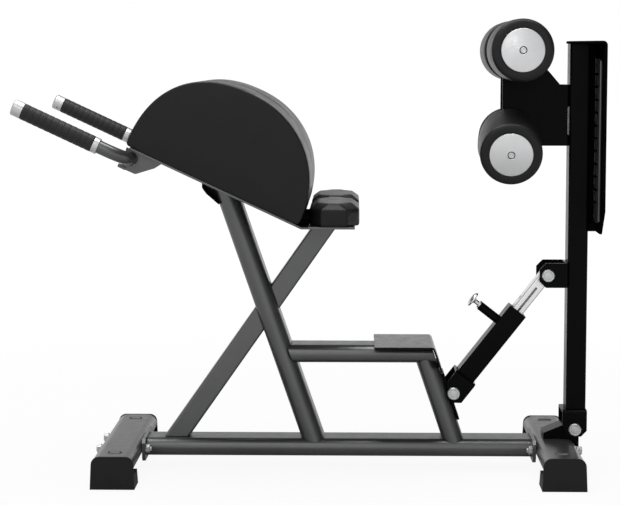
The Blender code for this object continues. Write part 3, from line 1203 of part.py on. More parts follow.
def arm():
    """The arm's outer tube with its pin boss, the liner, the inner tube and the pull pin."""
    fork = arm_fork()
    thick, width = ARM_TUBE_THICKNESS, ARM_TUBE_WIDTH
    start = ARM_FORK_WEB + GAP
    outer = prism("arm_outer_tube", box_tube(thick, width, TUBE_WALL, COLUMN_CORNER), start, ARM_TUBE_END,
                  ARM_FRAME, "black_paint")
    pin_frame = axes(ARM_FRAME @ Vector((0.0, 0.0, PIN_ALONG)), Y_AXIS, -(ARM_FRAME.to_3x3() @ X_AXIS))
    boss_low = thick / 2.0 - TUBE_WALL / 2.0
    guide = PIN_STEM_RADIUS + HOLE_CLEARANCE
    boss = turned("add_pin_boss", [(0.0, boss_low), (BOSS_RADIUS, boss_low), (BOSS_RADIUS, BOSS_END - 0.001),
                                   (BOSS_RADIUS - 0.001, BOSS_END), (0.0, BOSS_END)], pin_frame, steps=16)
    tip = PIN_RADIUS + HOLE_CLEARANCE
    seat = thick / 2.0
    bore = turned("cut_boss_bore", [(0.0, thick / 4.0), (tip, thick / 4.0), (tip, seat), (BOSS_BORE, seat),
                                    (BOSS_BORE, BOSS_END - 0.006), (guide, BOSS_END - 0.006),
                                    (guide, BOSS_END + 0.01), (0.0, BOSS_END + 0.01)], pin_frame, steps=16)
    combine(outer, [boss], "UNION")
    combine(outer, [bore], "DIFFERENCE")
    liner_out = box_tube(thick - 2.0 * (TUBE_WALL + GAP), width - 2.0 * (TUBE_WALL + GAP), 0.0, 0.003)[0]
    liner_in = rounded_rectangle(INNER_THICKNESS + 2.0 * GAP, INNER_WIDTH + 2.0 * GAP, 0.0035)
    liner = prism("arm_bush", [liner_out, liner_in], ARM_TUBE_END - BUSH_LENGTH, ARM_TUBE_END, ARM_FRAME, "plastic")
    liner_hole = drill("cut_bush_hole", pin_frame @ Vector((0.0, 0.0, thick / 2.0 - TUBE_WALL)),
                       pin_frame.to_3x3() @ Z_AXIS, tip, INNER_THICKNESS)
    combine(liner, [liner_hole], "DIFFERENCE")
    return [fork, outer, liner], inner_tube(), pull_pin(pin_frame)


def inner_tube():
    """The chromed tube that slides in the arm, with its row of pin holes and its side slots."""
    end = ARM_LENGTH + INNER_OVERHANG
    start = PIN_ALONG - HOLES_BELOW_PIN * HOLE_PITCH - INNER_TAIL
    tube = prism("arm_inner_tube", box_tube(INNER_THICKNESS, INNER_WIDTH, INNER_WALL, 0.0035),
                 start, end, ARM_FRAME, "chrome")
    half = INNER_THICKNESS / 2.0
    arm_x = ARM_FRAME.to_3x3() @ X_AXIS
    arm_z = ARM_FRAME.to_3x3() @ Z_AXIS
    side = axes(ARM_LOW, arm_x, arm_x.cross(arm_z))
    rounded = filleted([(half + GAP, -0.02, 0.0), (half + GAP, end, 0.011), (-half - GAP, end, 0.011),
                        (-half - GAP, -0.02, 0.0)])
    slot_top = ARM_LENGTH - SLOT_TOP
    slot = rounded_rectangle(SLOT_WIDTH, SLOT_LENGTH, SLOT_WIDTH * 0.49, (0.0, slot_top - SLOT_LENGTH / 2.0))
    eye = circle((0.0, ARM_LENGTH), CLEVIS_BOLT_RADIUS + OPEN_PIVOT_CLEARANCE, 20)
    trim = prism("trim_inner_tube", [rounded, slot, eye], -INNER_WIDTH, INNER_WIDTH, side)
    combine(tube, [trim], "INTERSECT")
    holes = []
    for i in range(-HOLES_BELOW_PIN, HOLES_ABOVE_PIN + 1):
        centre = ARM_FRAME @ Vector((-half, 0.0, PIN_ALONG + i * HOLE_PITCH))
        holes.append(drill("cut_pin_hole_%d" % (i + HOLES_BELOW_PIN), centre, arm_x, PIN_HOLE_RADIUS,
                           4.0 * INNER_WALL, 12))
    combine(tube, holes, "DIFFERENCE")
    return tube


def pull_pin(frame):
    """The sprung pin: a nose, the shoulder that its spring bears on, a stem, a collar and a domed knob."""
    tip = INNER_THICKNESS / 2.0 + PIN_TIP_CLEARANCE
    shoulder = PIN_SHOULDER - 0.004
    collar = BOSS_END + GAP
    knob = KNOB_END - KNOB_HEIGHT
    profile = [(0.0, tip), (PIN_RADIUS - 0.001, tip), (PIN_RADIUS, tip + 0.001), (PIN_RADIUS, shoulder),
               (PIN_SHOULDER_RADIUS, shoulder), (PIN_SHOULDER_RADIUS, PIN_SHOULDER), (PIN_STEM_RADIUS, PIN_SHOULDER),
               (PIN_STEM_RADIUS, collar), (PIN_COLLAR_RADIUS - 0.001, collar), (PIN_COLLAR_RADIUS, collar + 0.001),
               (PIN_COLLAR_RADIUS, collar + PIN_COLLAR_WIDTH - 0.001),
               (PIN_COLLAR_RADIUS - 0.001, collar + PIN_COLLAR_WIDTH), (PIN_STEM_RADIUS, collar + PIN_COLLAR_WIDTH),
               (PIN_STEM_RADIUS, knob - 0.004), (PIN_STEM_RADIUS + 0.004, knob)]
    profile += [(KNOB_RADIUS - 0.0015, knob), (KNOB_RADIUS, knob + 0.0015), (KNOB_RADIUS, knob + 0.003)]
    profile += [(KNOB_RADIUS * math.cos(a), knob + 0.003 + (KNOB_HEIGHT - 0.003) * math.sin(a))
                for a in (math.radians(30), math.radians(62))]
    profile += [(0.0, KNOB_END)]
    return turned("pull_pin", profile, frame, "chrome", 12)


def build():
    clear_scene()
    foot("left", LEFT_FOOT_X)
    foot("right", RIGHT_FOOT_X)
    main_beam()
    legs()
    step_plate()
    pad_plate()
    pad_gusset()
    for near, sign in (("near", -1.0), ("far", 1.0)):
        thigh_pad(near, -sign)
        knee_pad(near, sign)
    handles()
    column_anchor()
    arm_anchor()
    tilt = marker("column_tilt_axis", PIVOT, Y_AXIS)
    spacer = (CLEVIS_BOLT_RADIUS + 0.005, INNER_WIDTH / 2.0 + 0.0008, PLATE_HALF - BRACKET_PLATE - GAP)
    clevis_bolt = pivot_bolt("clevis_bolt", ARM_HIGH, CLEVIS_BOLT_RADIUS, PLATE_HALF, spacer)
    axles, spins = rollers()
    carry(tilt, *column(), clevis_bolt, carriage(), *axles, *spins)
    outer, inner, pin = arm()
    swing = marker("arm_swing_axis", ARM_LOW, Y_AXIS)
    slide = marker("arm_slide_axis", ARM_HIGH, ARM_FRAME.to_3x3() @ Z_AXIS)
    pull = marker("pull_pin_axis", ARM_FRAME @ Vector((0.0, 0.0, PIN_ALONG)), -(ARM_FRAME.to_3x3() @ X_AXIS))
    carry(slide, inner)
    carry(pull, pin)
    carry(swing, *outer, slide, pull)


build()
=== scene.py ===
"""The looks of a glute ham developer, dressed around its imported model.

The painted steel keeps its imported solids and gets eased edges. Pads, foam rollers, grips, the handle bar
and the bright turned parts are modelled here. Metres, +Z up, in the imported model's own frame.
"""

import json
import math

import bmesh
import bpy
import numpy as np
from mathutils import Matrix, Vector

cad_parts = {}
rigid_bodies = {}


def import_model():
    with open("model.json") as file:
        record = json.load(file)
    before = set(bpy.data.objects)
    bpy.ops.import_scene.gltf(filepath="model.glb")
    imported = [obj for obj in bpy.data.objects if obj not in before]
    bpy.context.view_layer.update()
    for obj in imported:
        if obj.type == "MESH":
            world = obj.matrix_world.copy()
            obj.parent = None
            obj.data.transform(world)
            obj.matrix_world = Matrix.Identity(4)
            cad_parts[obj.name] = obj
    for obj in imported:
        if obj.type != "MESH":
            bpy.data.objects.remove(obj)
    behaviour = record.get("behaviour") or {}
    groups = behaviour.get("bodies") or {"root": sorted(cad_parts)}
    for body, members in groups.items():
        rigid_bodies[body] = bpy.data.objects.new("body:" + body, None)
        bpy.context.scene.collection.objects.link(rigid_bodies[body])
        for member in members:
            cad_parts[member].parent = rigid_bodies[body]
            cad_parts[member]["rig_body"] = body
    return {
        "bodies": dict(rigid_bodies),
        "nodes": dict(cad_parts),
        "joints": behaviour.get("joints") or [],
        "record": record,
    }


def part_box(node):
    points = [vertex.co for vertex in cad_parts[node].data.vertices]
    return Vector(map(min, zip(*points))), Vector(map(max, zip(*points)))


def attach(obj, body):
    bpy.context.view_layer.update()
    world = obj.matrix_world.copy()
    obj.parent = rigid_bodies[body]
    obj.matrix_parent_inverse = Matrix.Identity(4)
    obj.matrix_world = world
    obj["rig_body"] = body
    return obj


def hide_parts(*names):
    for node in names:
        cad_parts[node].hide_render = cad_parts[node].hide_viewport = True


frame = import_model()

# Camera, fitted to the photograph
CAMERA_PLACE = (0.0981, -4.9000, 1.0340)
CAMERA_PITCH = math.radians(5.652)
CAMERA_YAW = math.radians(1.296)
CAMERA_LENS = 112.94
SENSOR_WIDTH = 36.0

# Floor and backdrop. A span holds where it starts and ends, then the value at each
FLOOR_REACH = 40.0
FLOOR_DROP = 0.0004
FLOOR_COLOUR = 0.50
FLOOR_WHITE = 1.03
SEEN_FLOOR = (1.0, 4.0, 0.90, 1.0)
MIRRORED_FLOOR = (0.8, 3.2, 0.05, 1.0)
WORLD_FILL = 0.55
CEILING_SPAN = (0.20, 0.92, 1.0, 0.55)
RIGHT_SPAN = (0.30, 0.85, 1.0, 0.12)
LEFT_SPAN = (-0.92, -0.55, 0.70, 1.0)
BEHIND_SPAN = (0.0, 0.4, 0.0, 0.80)
BEHIND_RISE = (0.16, 0.36, 0.0, 1.0)

# Lamps: name, place, target, width and depth, power, and whether it is seen mirrored
SOFT_BOXES = (
    ("overhead", (0.0, -0.3, 3.6), (0.0, 0.0, 0.4), (3.2, 1.3), 76.0, True),
    ("front_left", (-2.6, -3.4, 2.9), (0.1, 0.0, 0.6), (1.5, 1.5), 22.0, False),
    ("back_highlight", (-0.5, 1.0, 3.0), (-0.3, 0.0, 0.9), (0.9, 0.9), 13.0, True),
    ("front_highlight", (-0.9, -3.4, 3.4), (0.1, 0.0, 0.8), (2.4, 1.4), 20.0, True),
    ("hub_highlight", (-0.1, -6.2, 2.0), (0.4, 0.0, 1.0), (0.9, 0.9), 6.0, True))

# Shared sizes. TILT is the slope of pads and handles, GAP stays free between pieces that touch,
# and SHARP_ANGLE is in degrees
TILT = math.radians(25.0)
GAP = 0.0003
SHARP_ANGLE = 32.0
EASE = {"frame_paint": 0.0009, "black_paint": 0.0008, "step_paint": 0.0007, "rubber": 0.0020,
        "chrome": 0.0005, "plastic": 0.0003}
EASE_SEGMENTS = 2
WELD_DISTANCE = 0.00002
FLAT_ANGLE = math.radians(0.4)
NORMAL_WEIGHT = 60

# Thigh pads. SEAM gives depth and inset from the face inward, PANEL_SHARES the rings of a side panel
FRONT_SHARE = 0.495
FRONT_POWER = 2.38
BACK_POWER = 2.06
PAD_EDGE = 0.0065
PAD_FOOT = 0.0095
PAD_LIFT = 0.0006
ARC_STEPS = 44
BASE_STEPS = 36
WIDTH_STEPS = 14
SPLIT_GROOVE = 1.8
PANEL_INSET = 0.0075
PANEL_SHARES = (0.06, 0.2, 0.36, 0.52, 0.68, 0.82, 0.92)
SEAM_DEPTH = 0.0110
SEAM = ((0.0, PANEL_INSET), (0.0008, PAD_EDGE * 0.45), (0.0024, 0.0022), (0.0040, 0.0016),
        (0.0052, 0.0026), (0.0066, 0.0014), (SEAM_DEPTH, 0.0006))
THIGH_PRESSURE = 3.0
THIGH_SWELL = 0.0035
PINNED_BASE = 0.004
PINNED_EDGE = 0.0060
PINNED_FACE = 0.0004

# Knee pads
KNEE_BEVEL = 0.0190
KNEE_BEVEL_HEIGHT = 0.0150
KNEE_CHAMFER = (0.0300, 0.0480)
KNEE_SOFT = 0.0012
KNEE_EDGE = 0.0014
KNEE_EDGE_ANGLE = math.radians(12.0)
KNEE_VOXEL = 0.0022
KNEE_PRESSURE = 2.0
KNEE_SWELL = 0.0005
KNEE_PINNED = 0.003

# Stuffing: a short cloth simulation that leaves no modifier behind
SWELL_FRAMES = 20
CLOTH = {"quality": 6, "mass": 0.3, "tension_stiffness": 18.0, "compression_stiffness": 18.0,
         "shear_stiffness": 8.0, "bending_stiffness": 3.0, "use_pressure": True}

# Handle bar and grips
BAR_RADIUS = 0.0160
BAR_WALL = 0.0025
BAR_BEND = 0.0600
BAR_SIDES = 40
BEND_STEPS = 20
GRIP_BANDS = 12
GRIP_ROWS = 12
GRIP_GROOVE = 0.00045
GRIP_GROOVE_WIDTH = 0.0011
GRIP_CROWN = 0.00025
SCREW_TURN = math.radians(38.0)
SCREW_SHARE = 0.42
SCREW_RADIUS = 0.0021
SCREW_SOCKET = 0.0013

# Rollers
ROLLER_BORE = 0.0130
ROLLER_EDGE = 0.0120
ROLLER_LIFT = 0.0009
ROLLER_CROWN = 0.0006
# The next radius is the hub disc's bore and the outer edge of the black ring put round each axle's head as
# painted shade
SHADE_RING_RADIUS = 0.0092
HEAD_RADIUS = 0.0074
HEAD_LENGTH = 0.0070
AXLE_RADIUS = 0.0125
DOME_DROP = 0.80
DOME_SHARES = (0.95, 0.88, 0.8, 0.7, 0.6, 0.5, 0.4, 0.32, 0.25)

# Bolts, pivots and the pull pin. SPACER is a sleeve's radius, its inner end and its gap to the cap
HEX_RADIUS = 0.0095
HEX_CROWN = 0.80
WASHER_RADIUS = 0.0120
BOLT_RADIUS = 0.0060
THREAD_RADIUS = 0.0059
BOLT_HEAD = 0.0130
BOLT_NUT = 0.0140
CAP_GROOVE = 0.64
CAP_DEPTH = 0.0090
PIVOT_RADIUS = 0.0100
CLEVIS_RADIUS = 0.0070
SPACER = (0.0118, 0.0260, 0.0066)
PIN_NOSE = 0.0055
PIN_SHOULDER = 0.0075
PIN_STEM = 0.0057
PIN_COLLAR = 0.0100
COLLAR_SHARE = 0.689
KNOB_DEPTH = 0.0095

# Small trim. SLOT_HALF is a lip's half length and width, RIM its section as inset and share of height
WEB_HALF = 0.0020
WEB_HEADROOM = 0.0060
STRIP_UP = 0.0160
STRIP_THICKNESS = 0.0005
TRIM_SPAN = (0.0004, 0.0030)
TRIM_INSET = 0.006
SLOT_INSET = 0.0600
SLOT_HALF = (0.0180, 0.0070)
RIM_HEIGHT = 0.0016
RIM_STEPS = 48
RIM = ((0.0, -0.25), (0.0006, 0.7), (0.0014, 1.0), (0.0024, 0.8), (0.0032, -0.25))

X_AXIS = Vector((1.0, 0.0, 0.0))
Y_AXIS = Vector((0.0, 1.0, 0.0))
# OUT runs up the slope towards the handles, ABOVE stands square on it
OUT = Vector((-math.cos(TILT), 0.0, math.sin(TILT)))
ABOVE = Vector((math.sin(TILT), 0.0, math.cos(TILT)))

for leftover in [o for o in bpy.data.objects if "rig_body" not in o and o not in frame["bodies"].values()]:
    bpy.data.objects.remove(leftover, do_unlink=True)
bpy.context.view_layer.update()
joints = {joint["name"]: joint for joint in frame["joints"]}


# Materials

class Nodes:
    """A node tree, built by plain calls."""

    def __init__(self, tree):
        self.tree = tree

    def add(self, kind, inputs=(), **settings):
        """A new node. An input is a value, or a socket to link from."""
        node = self.tree.nodes.new(kind)
        for key, value in settings.items():
            setattr(node, key, value)
        for key, value in dict(inputs).items():
            if isinstance(value, bpy.types.NodeSocket):
                self.tree.links.new(value, node.inputs[key])
            else:
                node.inputs[key].default_value = value
        return node

    def maths(self, operation, first, second):
        return self.add("ShaderNodeMath", {0: first, 1: second}, operation=operation).outputs[0]

    def vector(self, operation, inputs, output="Vector"):
        return self.add("ShaderNodeVectorMath", inputs, operation=operation).outputs[output]

    def span(self, value, low, high, to_low, to_high, curve="LINEAR"):
        node = self.add("ShaderNodeMapRange", {"Value": value, "From Min": low, "From Max": high,
                                               "To Min": to_low, "To Max": to_high}, interpolation_type=curve)
        return node.outputs["Result"]

    def smooth(self, value, low, high, to_low, to_high):
        return self.span(value, low, high, to_low, to_high, "SMOOTHSTEP")


class Finish(Nodes):
    """One procedural material on a Principled shader, in object coordinates."""

    def __init__(self, name, **sockets):
        self.material = bpy.data.materials.new(name)
        self.material.use_nodes = True
        super().__init__(self.material.node_tree)
        self.shader = self.tree.nodes["Principled BSDF"]
        self.place = self.add("ShaderNodeTexCoord").outputs["Object"]
        self.height = None
        for socket, value in sockets.items():
            self.shader.inputs[socket.replace("_", " ")].default_value = value

    def set(self, socket, value):
        self.tree.links.new(value, self.shader.inputs[socket])

    def noise(self, scale, detail):
        noise = self.add("ShaderNodeTexNoise", {"Vector": self.place, "Scale": scale, "Detail": detail})
        return noise.outputs["Fac"]

    def pebbles(self, scale, crease):
        """Rounded cells with creases between them, 0 in a crease and 1 on a cell."""
        warp = self.add("ShaderNodeTexNoise", {"Vector": self.place, "Scale": scale * 0.4, "Detail": 1.0})
        shift = self.vector("SCALE", {0: warp.outputs["Color"], "Scale": 0.9 / scale})
        where = self.vector("ADD", {0: self.place, 1: shift})
        cells = self.add("ShaderNodeTexVoronoi", {"Vector": where, "Scale": scale},
                         feature="DISTANCE_TO_EDGE")
        return self.smooth(cells.outputs["Distance"], 0.0, crease, 0.0, 1.0)

    def blend(self, factor, under, over):
        """Mixes two colours by factor; each is a linear RGB triple or a socket."""
        mix = self.tree.nodes.new("ShaderNodeMix")
        mix.data_type = "RGBA"
        sockets = {s.identifier: s for s in (*mix.inputs, *mix.outputs)}
        self.tree.links.new(factor, sockets["Factor_Float"])
        for key, colour in (("A_Color", under), ("B_Color", over)):
            if isinstance(colour, bpy.types.NodeSocket):
                self.tree.links.new(colour, sockets[key])
            else:
                sockets[key].default_value = (*colour, 1.0)
        return sockets["Result_Color"]

    def mottled(self, scale, detail, colour, dark, light):
        """The colour, broken up from its dark share to its light share."""
        return self.blend(self.noise(scale, detail), tinted(colour, dark), tinted(colour, light))

    def gloss(self, scale, detail, low, high):
        """Roughness that wanders between low and high."""
        self.set("Roughness", self.span(self.noise(scale, detail), 0.3, 0.7, low, high))

    def relief(self, value, depth):
        """Adds one layer of bump, depth metres high."""
        node = self.add("ShaderNodeBump", {"Height": value, "Distance": depth, "Strength": 1.0})
        if self.height:
            self.tree.links.new(self.height, node.inputs["Normal"])
        self.height = node.outputs["Normal"]
        self.set("Normal", self.height)


def tinted(colour, factor):
    return tuple(c * factor for c in colour)


def powder_coat(name, colour, metallic, roughness, specular, worn=1.7):
    """Sprayed paint with a fine orange peel, rubbed paler along its edges."""
    finish = Finish(name, Metallic=metallic, Specular_IOR_Level=specular)
    base = finish.mottled(7.0, 3.0, colour, 0.90, 1.10)
    pointed = finish.add("ShaderNodeNewGeometry").outputs["Pointiness"]
    edge = finish.span(pointed, 0.535, 0.60, 0.0, 0.45)
    finish.set("Base Color", finish.blend(edge, base, tinted(colour, worn)))
    finish.gloss(38.0, 4.0, roughness - 0.02, roughness + 0.03)
    finish.relief(finish.noise(420.0, 2.0), 0.000025)
    finish.relief(finish.noise(1500.0, 1.0), 0.00002)
    return finish.material


def coated_fabric(name, colour, roughness, specular, grain, crease):
    """Grained vinyl: pebbles of the given size with painted shade in the creases between them, finer pores,
    and broad changes of tone and gloss.
    """
    finish = Finish(name, Specular_IOR_Level=specular)
    cells = finish.pebbles(1.0 / grain, 0.16)
    tone = finish.mottled(5.0, 3.0, colour, 0.86, 1.14)
    # Painted shade: the colour darkens in the creases between the pebbles
    shadow = finish.span(cells, 0.0, 1.0, 0.45, 0.0)
    finish.set("Base Color", finish.blend(shadow, tone, tinted(colour, 0.55)))
    finish.gloss(21.0, 4.0, roughness - 0.04, roughness + 0.06)
    finish.relief(cells, crease)
    finish.relief(finish.noise(2600.0, 2.0), crease * 0.25)
    return finish.material


def moulded_rubber(name, colour, roughness, specular, knurl=0.0):
    """Rubber or plastic; knurl is the size of its raised pebbles, none at 0."""
    finish = Finish(name, Specular_IOR_Level=specular)
    finish.set("Base Color", finish.mottled(12.0, 4.0, colour, 0.85, 1.2))
    finish.gloss(60.0, 3.0, roughness - 0.05, roughness + 0.05)
    finish.relief(finish.noise(900.0, 3.0), 0.00006)
    if knurl:
        finish.relief(finish.pebbles(1.0 / knurl, 0.22), 0.00005)
    return finish.material


def metal(name, colour, roughness):
    """Bare metal with faint wear in its gloss."""
    finish = Finish(name, Metallic=1.0)
    finish.set("Base Color", finish.mottled(30.0, 3.0, colour, 0.95, 1.03))
    finish.gloss(90.0, 4.0, roughness * 0.85, roughness * 1.2)
    finish.relief(finish.noise(160.0, 2.0), 0.000008)
    return finish.material


frame_paint = powder_coat("gunmetal_powder_coat", (0.110, 0.111, 0.113), 0.80, 0.31, 0.5)
black_paint = powder_coat("black_powder_coat", (0.0016, 0.0016, 0.0017), 0.0, 0.25, 0.05, 2.0)
matte_black = powder_coat("matte_black_coat", (0.0030, 0.0030, 0.0031), 0.0, 0.80, 0.0, 3.0)
step_paint = powder_coat("step_powder_coat", (0.0018, 0.0018, 0.0019), 0.0, 0.22, 0.12, 2.0)
vinyl = coated_fabric("black_vinyl", (0.0085, 0.0085, 0.0087), 0.33, 0.20, 0.0016, 0.00005)
roller_skin = coated_fabric("roller_skin", (0.0110, 0.0110, 0.0112), 0.40, 0.22, 0.0009, 0.00003)
boot_rubber = moulded_rubber("boot_rubber", (0.0115, 0.0115, 0.0117), 0.50, 0.18)
tread_rubber = moulded_rubber("tread_rubber", (0.034, 0.034, 0.0345), 0.42, 0.45, 0.0030)
grip_rubber = moulded_rubber("grip_rubber", (0.0115, 0.0115, 0.0117), 0.52, 0.30, 0.0022)
bright_steel = metal("bright_steel", (0.56, 0.565, 0.57), 0.42)
satin_aluminium = metal("satin_aluminium", (0.62, 0.623, 0.63), 0.32)
cap_aluminium = metal("cap_aluminium", (0.50, 0.503, 0.51), 0.38)
chrome = metal("chrome_plate", (0.74, 0.743, 0.75), 0.26)
polished_steel = metal("polished_steel", (0.70, 0.703, 0.71), 0.26)
liner_plastic = moulded_rubber("liner_plastic", (0.014, 0.014, 0.015), 0.45, 0.4)
# Black for the grub screws, and painted shade for the ring round each axle's head
black_screw_and_recess_shade = moulded_rubber("black_screw_and_recess_shade", (0.006, 0.006, 0.006), 0.6, 0.2)

LOOKS = {"frame_paint": frame_paint, "black_paint": black_paint, "step_paint": step_paint,
         "rubber": boot_rubber, "bright_steel": bright_steel, "satin_aluminium": satin_aluminium,
         "axle_steel": bright_steel, "chrome": chrome, "plastic": liner_plastic, "vinyl": vinyl,
         "roller_foam": roller_skin}
NODE_LOOKS = {"tread_mat": tread_rubber, "foot_plate": matte_black, "foot_plate_stay": matte_black}


# Helpers for the pieces modelled here

def axes(origin, x_hint, z_axis):
    """A right-handed frame at origin with its local z along z_axis."""
    z = Vector(z_axis).normalized()
    y = z.cross(Vector(x_hint)).normalized()
    x = y.cross(z)
    result = Matrix((x, y, z)).transposed().to_4x4()
    result.translation = Vector(origin)
    return result


def reach_along(node, origin, direction):
    """The lowest and highest distance of a node along a direction, and its largest radius about it."""
    points = np.array([v.co for v in frame["nodes"][node].data.vertices], float) - np.array(origin)
    direction = np.array(Vector(direction).normalized())
    along = points @ direction
    away = np.linalg.norm(points - np.outer(along, direction), axis=1)
    return float(along.min()), float(along.max()), float(away.max())


def finish_piece(obj, body, slot, material, *nodes):
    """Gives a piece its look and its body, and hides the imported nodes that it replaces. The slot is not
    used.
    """
    obj.data.materials.append(material)
    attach(obj, body)
    if nodes:
        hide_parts(*nodes)


def from_bmesh(name, bm, place=None, sharp=SHARP_ANGLE):
    """An object from a mesh under construction, smooth but for edges sharper than sharp degrees."""
    bmesh.ops.recalc_face_normals(bm, faces=bm.faces)
    mesh = bpy.data.meshes.new(name)
    bm.to_mesh(mesh)
    bm.free()
    mesh.shade_smooth()
    mesh.set_sharp_from_angle(angle=math.radians(sharp))
    obj = bpy.data.objects.new(name, mesh)
    obj.matrix_world = place or Matrix.Identity(4)
    bpy.context.scene.collection.objects.link(obj)
    return obj


def eased(corners, steps=4):
    """A profile from (radius, height, fillet) corners, with each fillet as an arc."""
    points = []
    for i, (r, h, fillet) in enumerate(corners):
        if fillet <= 0.0 or i in (0, len(corners) - 1):
            points.append((r, h))
            continue
        here = Vector((r, h))
        before = (Vector(corners[i - 1][:2]) - here).normalized()
        after = (Vector(corners[i + 1][:2]) - here).normalized()
        half = math.acos(max(-1.0, min(1.0, before.dot(after)))) / 2.0
        centre = here + (before + after).normalized() * (fillet / math.sin(half))
        start = here + before * (fillet / math.tan(half)) - centre
        end = here + after * (fillet / math.tan(half)) - centre
        turn = start.angle_signed(end)
        for step in range(steps + 1):
            arm = start.copy()
            arm.rotate(Matrix.Rotation(-turn * step / steps, 2))
            points.append(tuple(centre + arm))
    return points


def skin(bm, rows):
    """Faces between neighbouring rings of vertices; a ring of one vertex is a pole."""
    for low, high in zip(rows, rows[1:]):
        count = max(len(low), len(high))
        if count == 1:
            continue
        for k in range(count):
            j = (k + 1) % count
            if len(low) == 1:
                bm.faces.new((low[0], high[j], high[k]))
            elif len(high) == 1:
                bm.faces.new((low[k], low[j], high[0]))
            else:
                bm.faces.new((low[k], low[j], high[j], high[k]))


def turned(name, profile, place, steps=96, closed=False, hexagon=()):
    """Spins a (radius, height) profile about z. Rows listed in hexagon are six-sided."""
    bm = bmesh.new()
    rows = []
    for index, (radius, height) in enumerate(profile):
        if radius < 1e-7:
            rows.append([bm.verts.new((0.0, 0.0, height))])
            continue
        row = []
        for k in range(steps):
            angle = 2.0 * math.pi * k / steps
            reach = radius
            if index in hexagon:
                reach = radius / math.cos((angle + math.pi / 6.0) % (math.pi / 3.0) - math.pi / 6.0)
            row.append(bm.verts.new((reach * math.cos(angle), reach * math.sin(angle), height)))
        rows.append(row)
    skin(bm, rows + rows[:1] if closed else rows)
    return from_bmesh(name, bm, place)


def swept_tube(name, path, radius, sides, wall):
    """A hollow tube along a path in a plane, from mitred rings."""
    normal = (path[1] - path[0]).cross(path[len(path) // 2] - path[0]).normalized()
    bm = bmesh.new()
    rows = {radius: [], radius - wall: []}
    for i, point in enumerate(path):
        before = (point - path[i - 1]).normalized() if i else None
        after = (path[i + 1] - point).normalized() if i + 1 < len(path) else None
        tangent = ((before or after) + (after or before)).normalized()
        side = tangent.cross(normal)
        for reach, collected in rows.items():
            ring = [point + (side * math.cos(a) + normal * math.sin(a)) * reach
                    for a in (2.0 * math.pi * k / sides for k in range(sides))]
            collected.append([bm.verts.new(p) for p in ring])
    outer, inner = rows.values()
    skin(bm, outer + inner[::-1] + outer[:1])
    return from_bmesh(name, bm)


def slab(name, low, high, body, slot, material, edge):
    """A plate between two corners, with eased edges."""
    bm = bmesh.new()
    bmesh.ops.create_cube(bm, size=1.0)
    for v in bm.verts:
        v.co = Vector([a + (b - a) * (c + 0.5) for a, b, c in zip(low, high, v.co)])
    bmesh.ops.bevel(bm, geom=bm.edges[:], offset=edge, segments=2, affect="EDGES", profile=0.5)
    finish_piece(from_bmesh(name, bm), body, slot, material)


def ease_node(node, width):
    """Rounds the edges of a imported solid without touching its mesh."""
    obj = frame["nodes"][node]
    obj.data.shade_smooth()
    weld = obj.modifiers.new("weld", "WELD")
    weld.merge_threshold = WELD_DISTANCE
    plain = obj.modifiers.new("plain", "DECIMATE")
    plain.decimate_type = "DISSOLVE"
    plain.angle_limit = FLAT_ANGLE
    bevel = obj.modifiers.new("ease", "BEVEL")
    bevel.width = width
    bevel.segments = EASE_SEGMENTS
    bevel.limit_method = "ANGLE"
    bevel.angle_limit = math.radians(SHARP_ANGLE)
    bevel.miter_outer = "MITER_ARC"
    normals = obj.modifiers.new("normals", "WEIGHTED_NORMAL")
    normals.weight = NORMAL_WEIGHT


def dress_nodes():
    """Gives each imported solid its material, and eased edges where its slot has them."""
    for row in frame["record"]["subparts"]:
        node, slot = row["node"], row["material_slot"]
        obj = frame["nodes"][node]
        look = NODE_LOOKS.get(node, LOOKS[slot])
        obj.data.materials.clear()
        obj.data.materials.append(look)
        if slot in EASE:
            ease_node(node, EASE[slot])


# Pads

def inflate(obj, pinned, pressure, most):
    """Swells a closed mesh with a short cloth simulation, no point further than most metres."""
    rest = np.array([v.co for v in obj.data.vertices], float)
    group = obj.vertex_groups.new(name="pinned")
    group.add([int(i) for i in np.flatnonzero(pinned)], 1.0, "REPLACE")
    cloth = obj.modifiers.new("swell", "CLOTH")
    for key, value in CLOTH.items():
        setattr(cloth.settings, key, value)
    cloth.settings.uniform_pressure_force = pressure
    cloth.settings.vertex_group_mass = "pinned"
    cloth.settings.effector_weights.gravity = 0.0
    cloth.collision_settings.use_collision = False
    cloth.point_cache.frame_start = 1
    cloth.point_cache.frame_end = SWELL_FRAMES
    scene = bpy.context.scene
    for number in range(1, SWELL_FRAMES + 1):
        scene.frame_set(number)
    swelled = obj.evaluated_get(bpy.context.evaluated_depsgraph_get())
    moved = np.array([v.co for v in swelled.to_mesh().vertices], float)
    swelled.to_mesh_clear()
    obj.modifiers.remove(cloth)
    scene.frame_set(1)
    step = moved - rest
    length = np.linalg.norm(step, axis=1, keepdims=True)
    step *= np.minimum(1.0, most / np.maximum(length, 1e-9))
    obj.data.vertices.foreach_set("co", (rest + step).astype(np.float32).ravel())
    obj.data.update()
    obj.vertex_groups.clear()


def subdivide(obj):
    modifier = obj.modifiers.new("smooth", "SUBSURF")
    modifier.levels = modifier.render_levels = 1


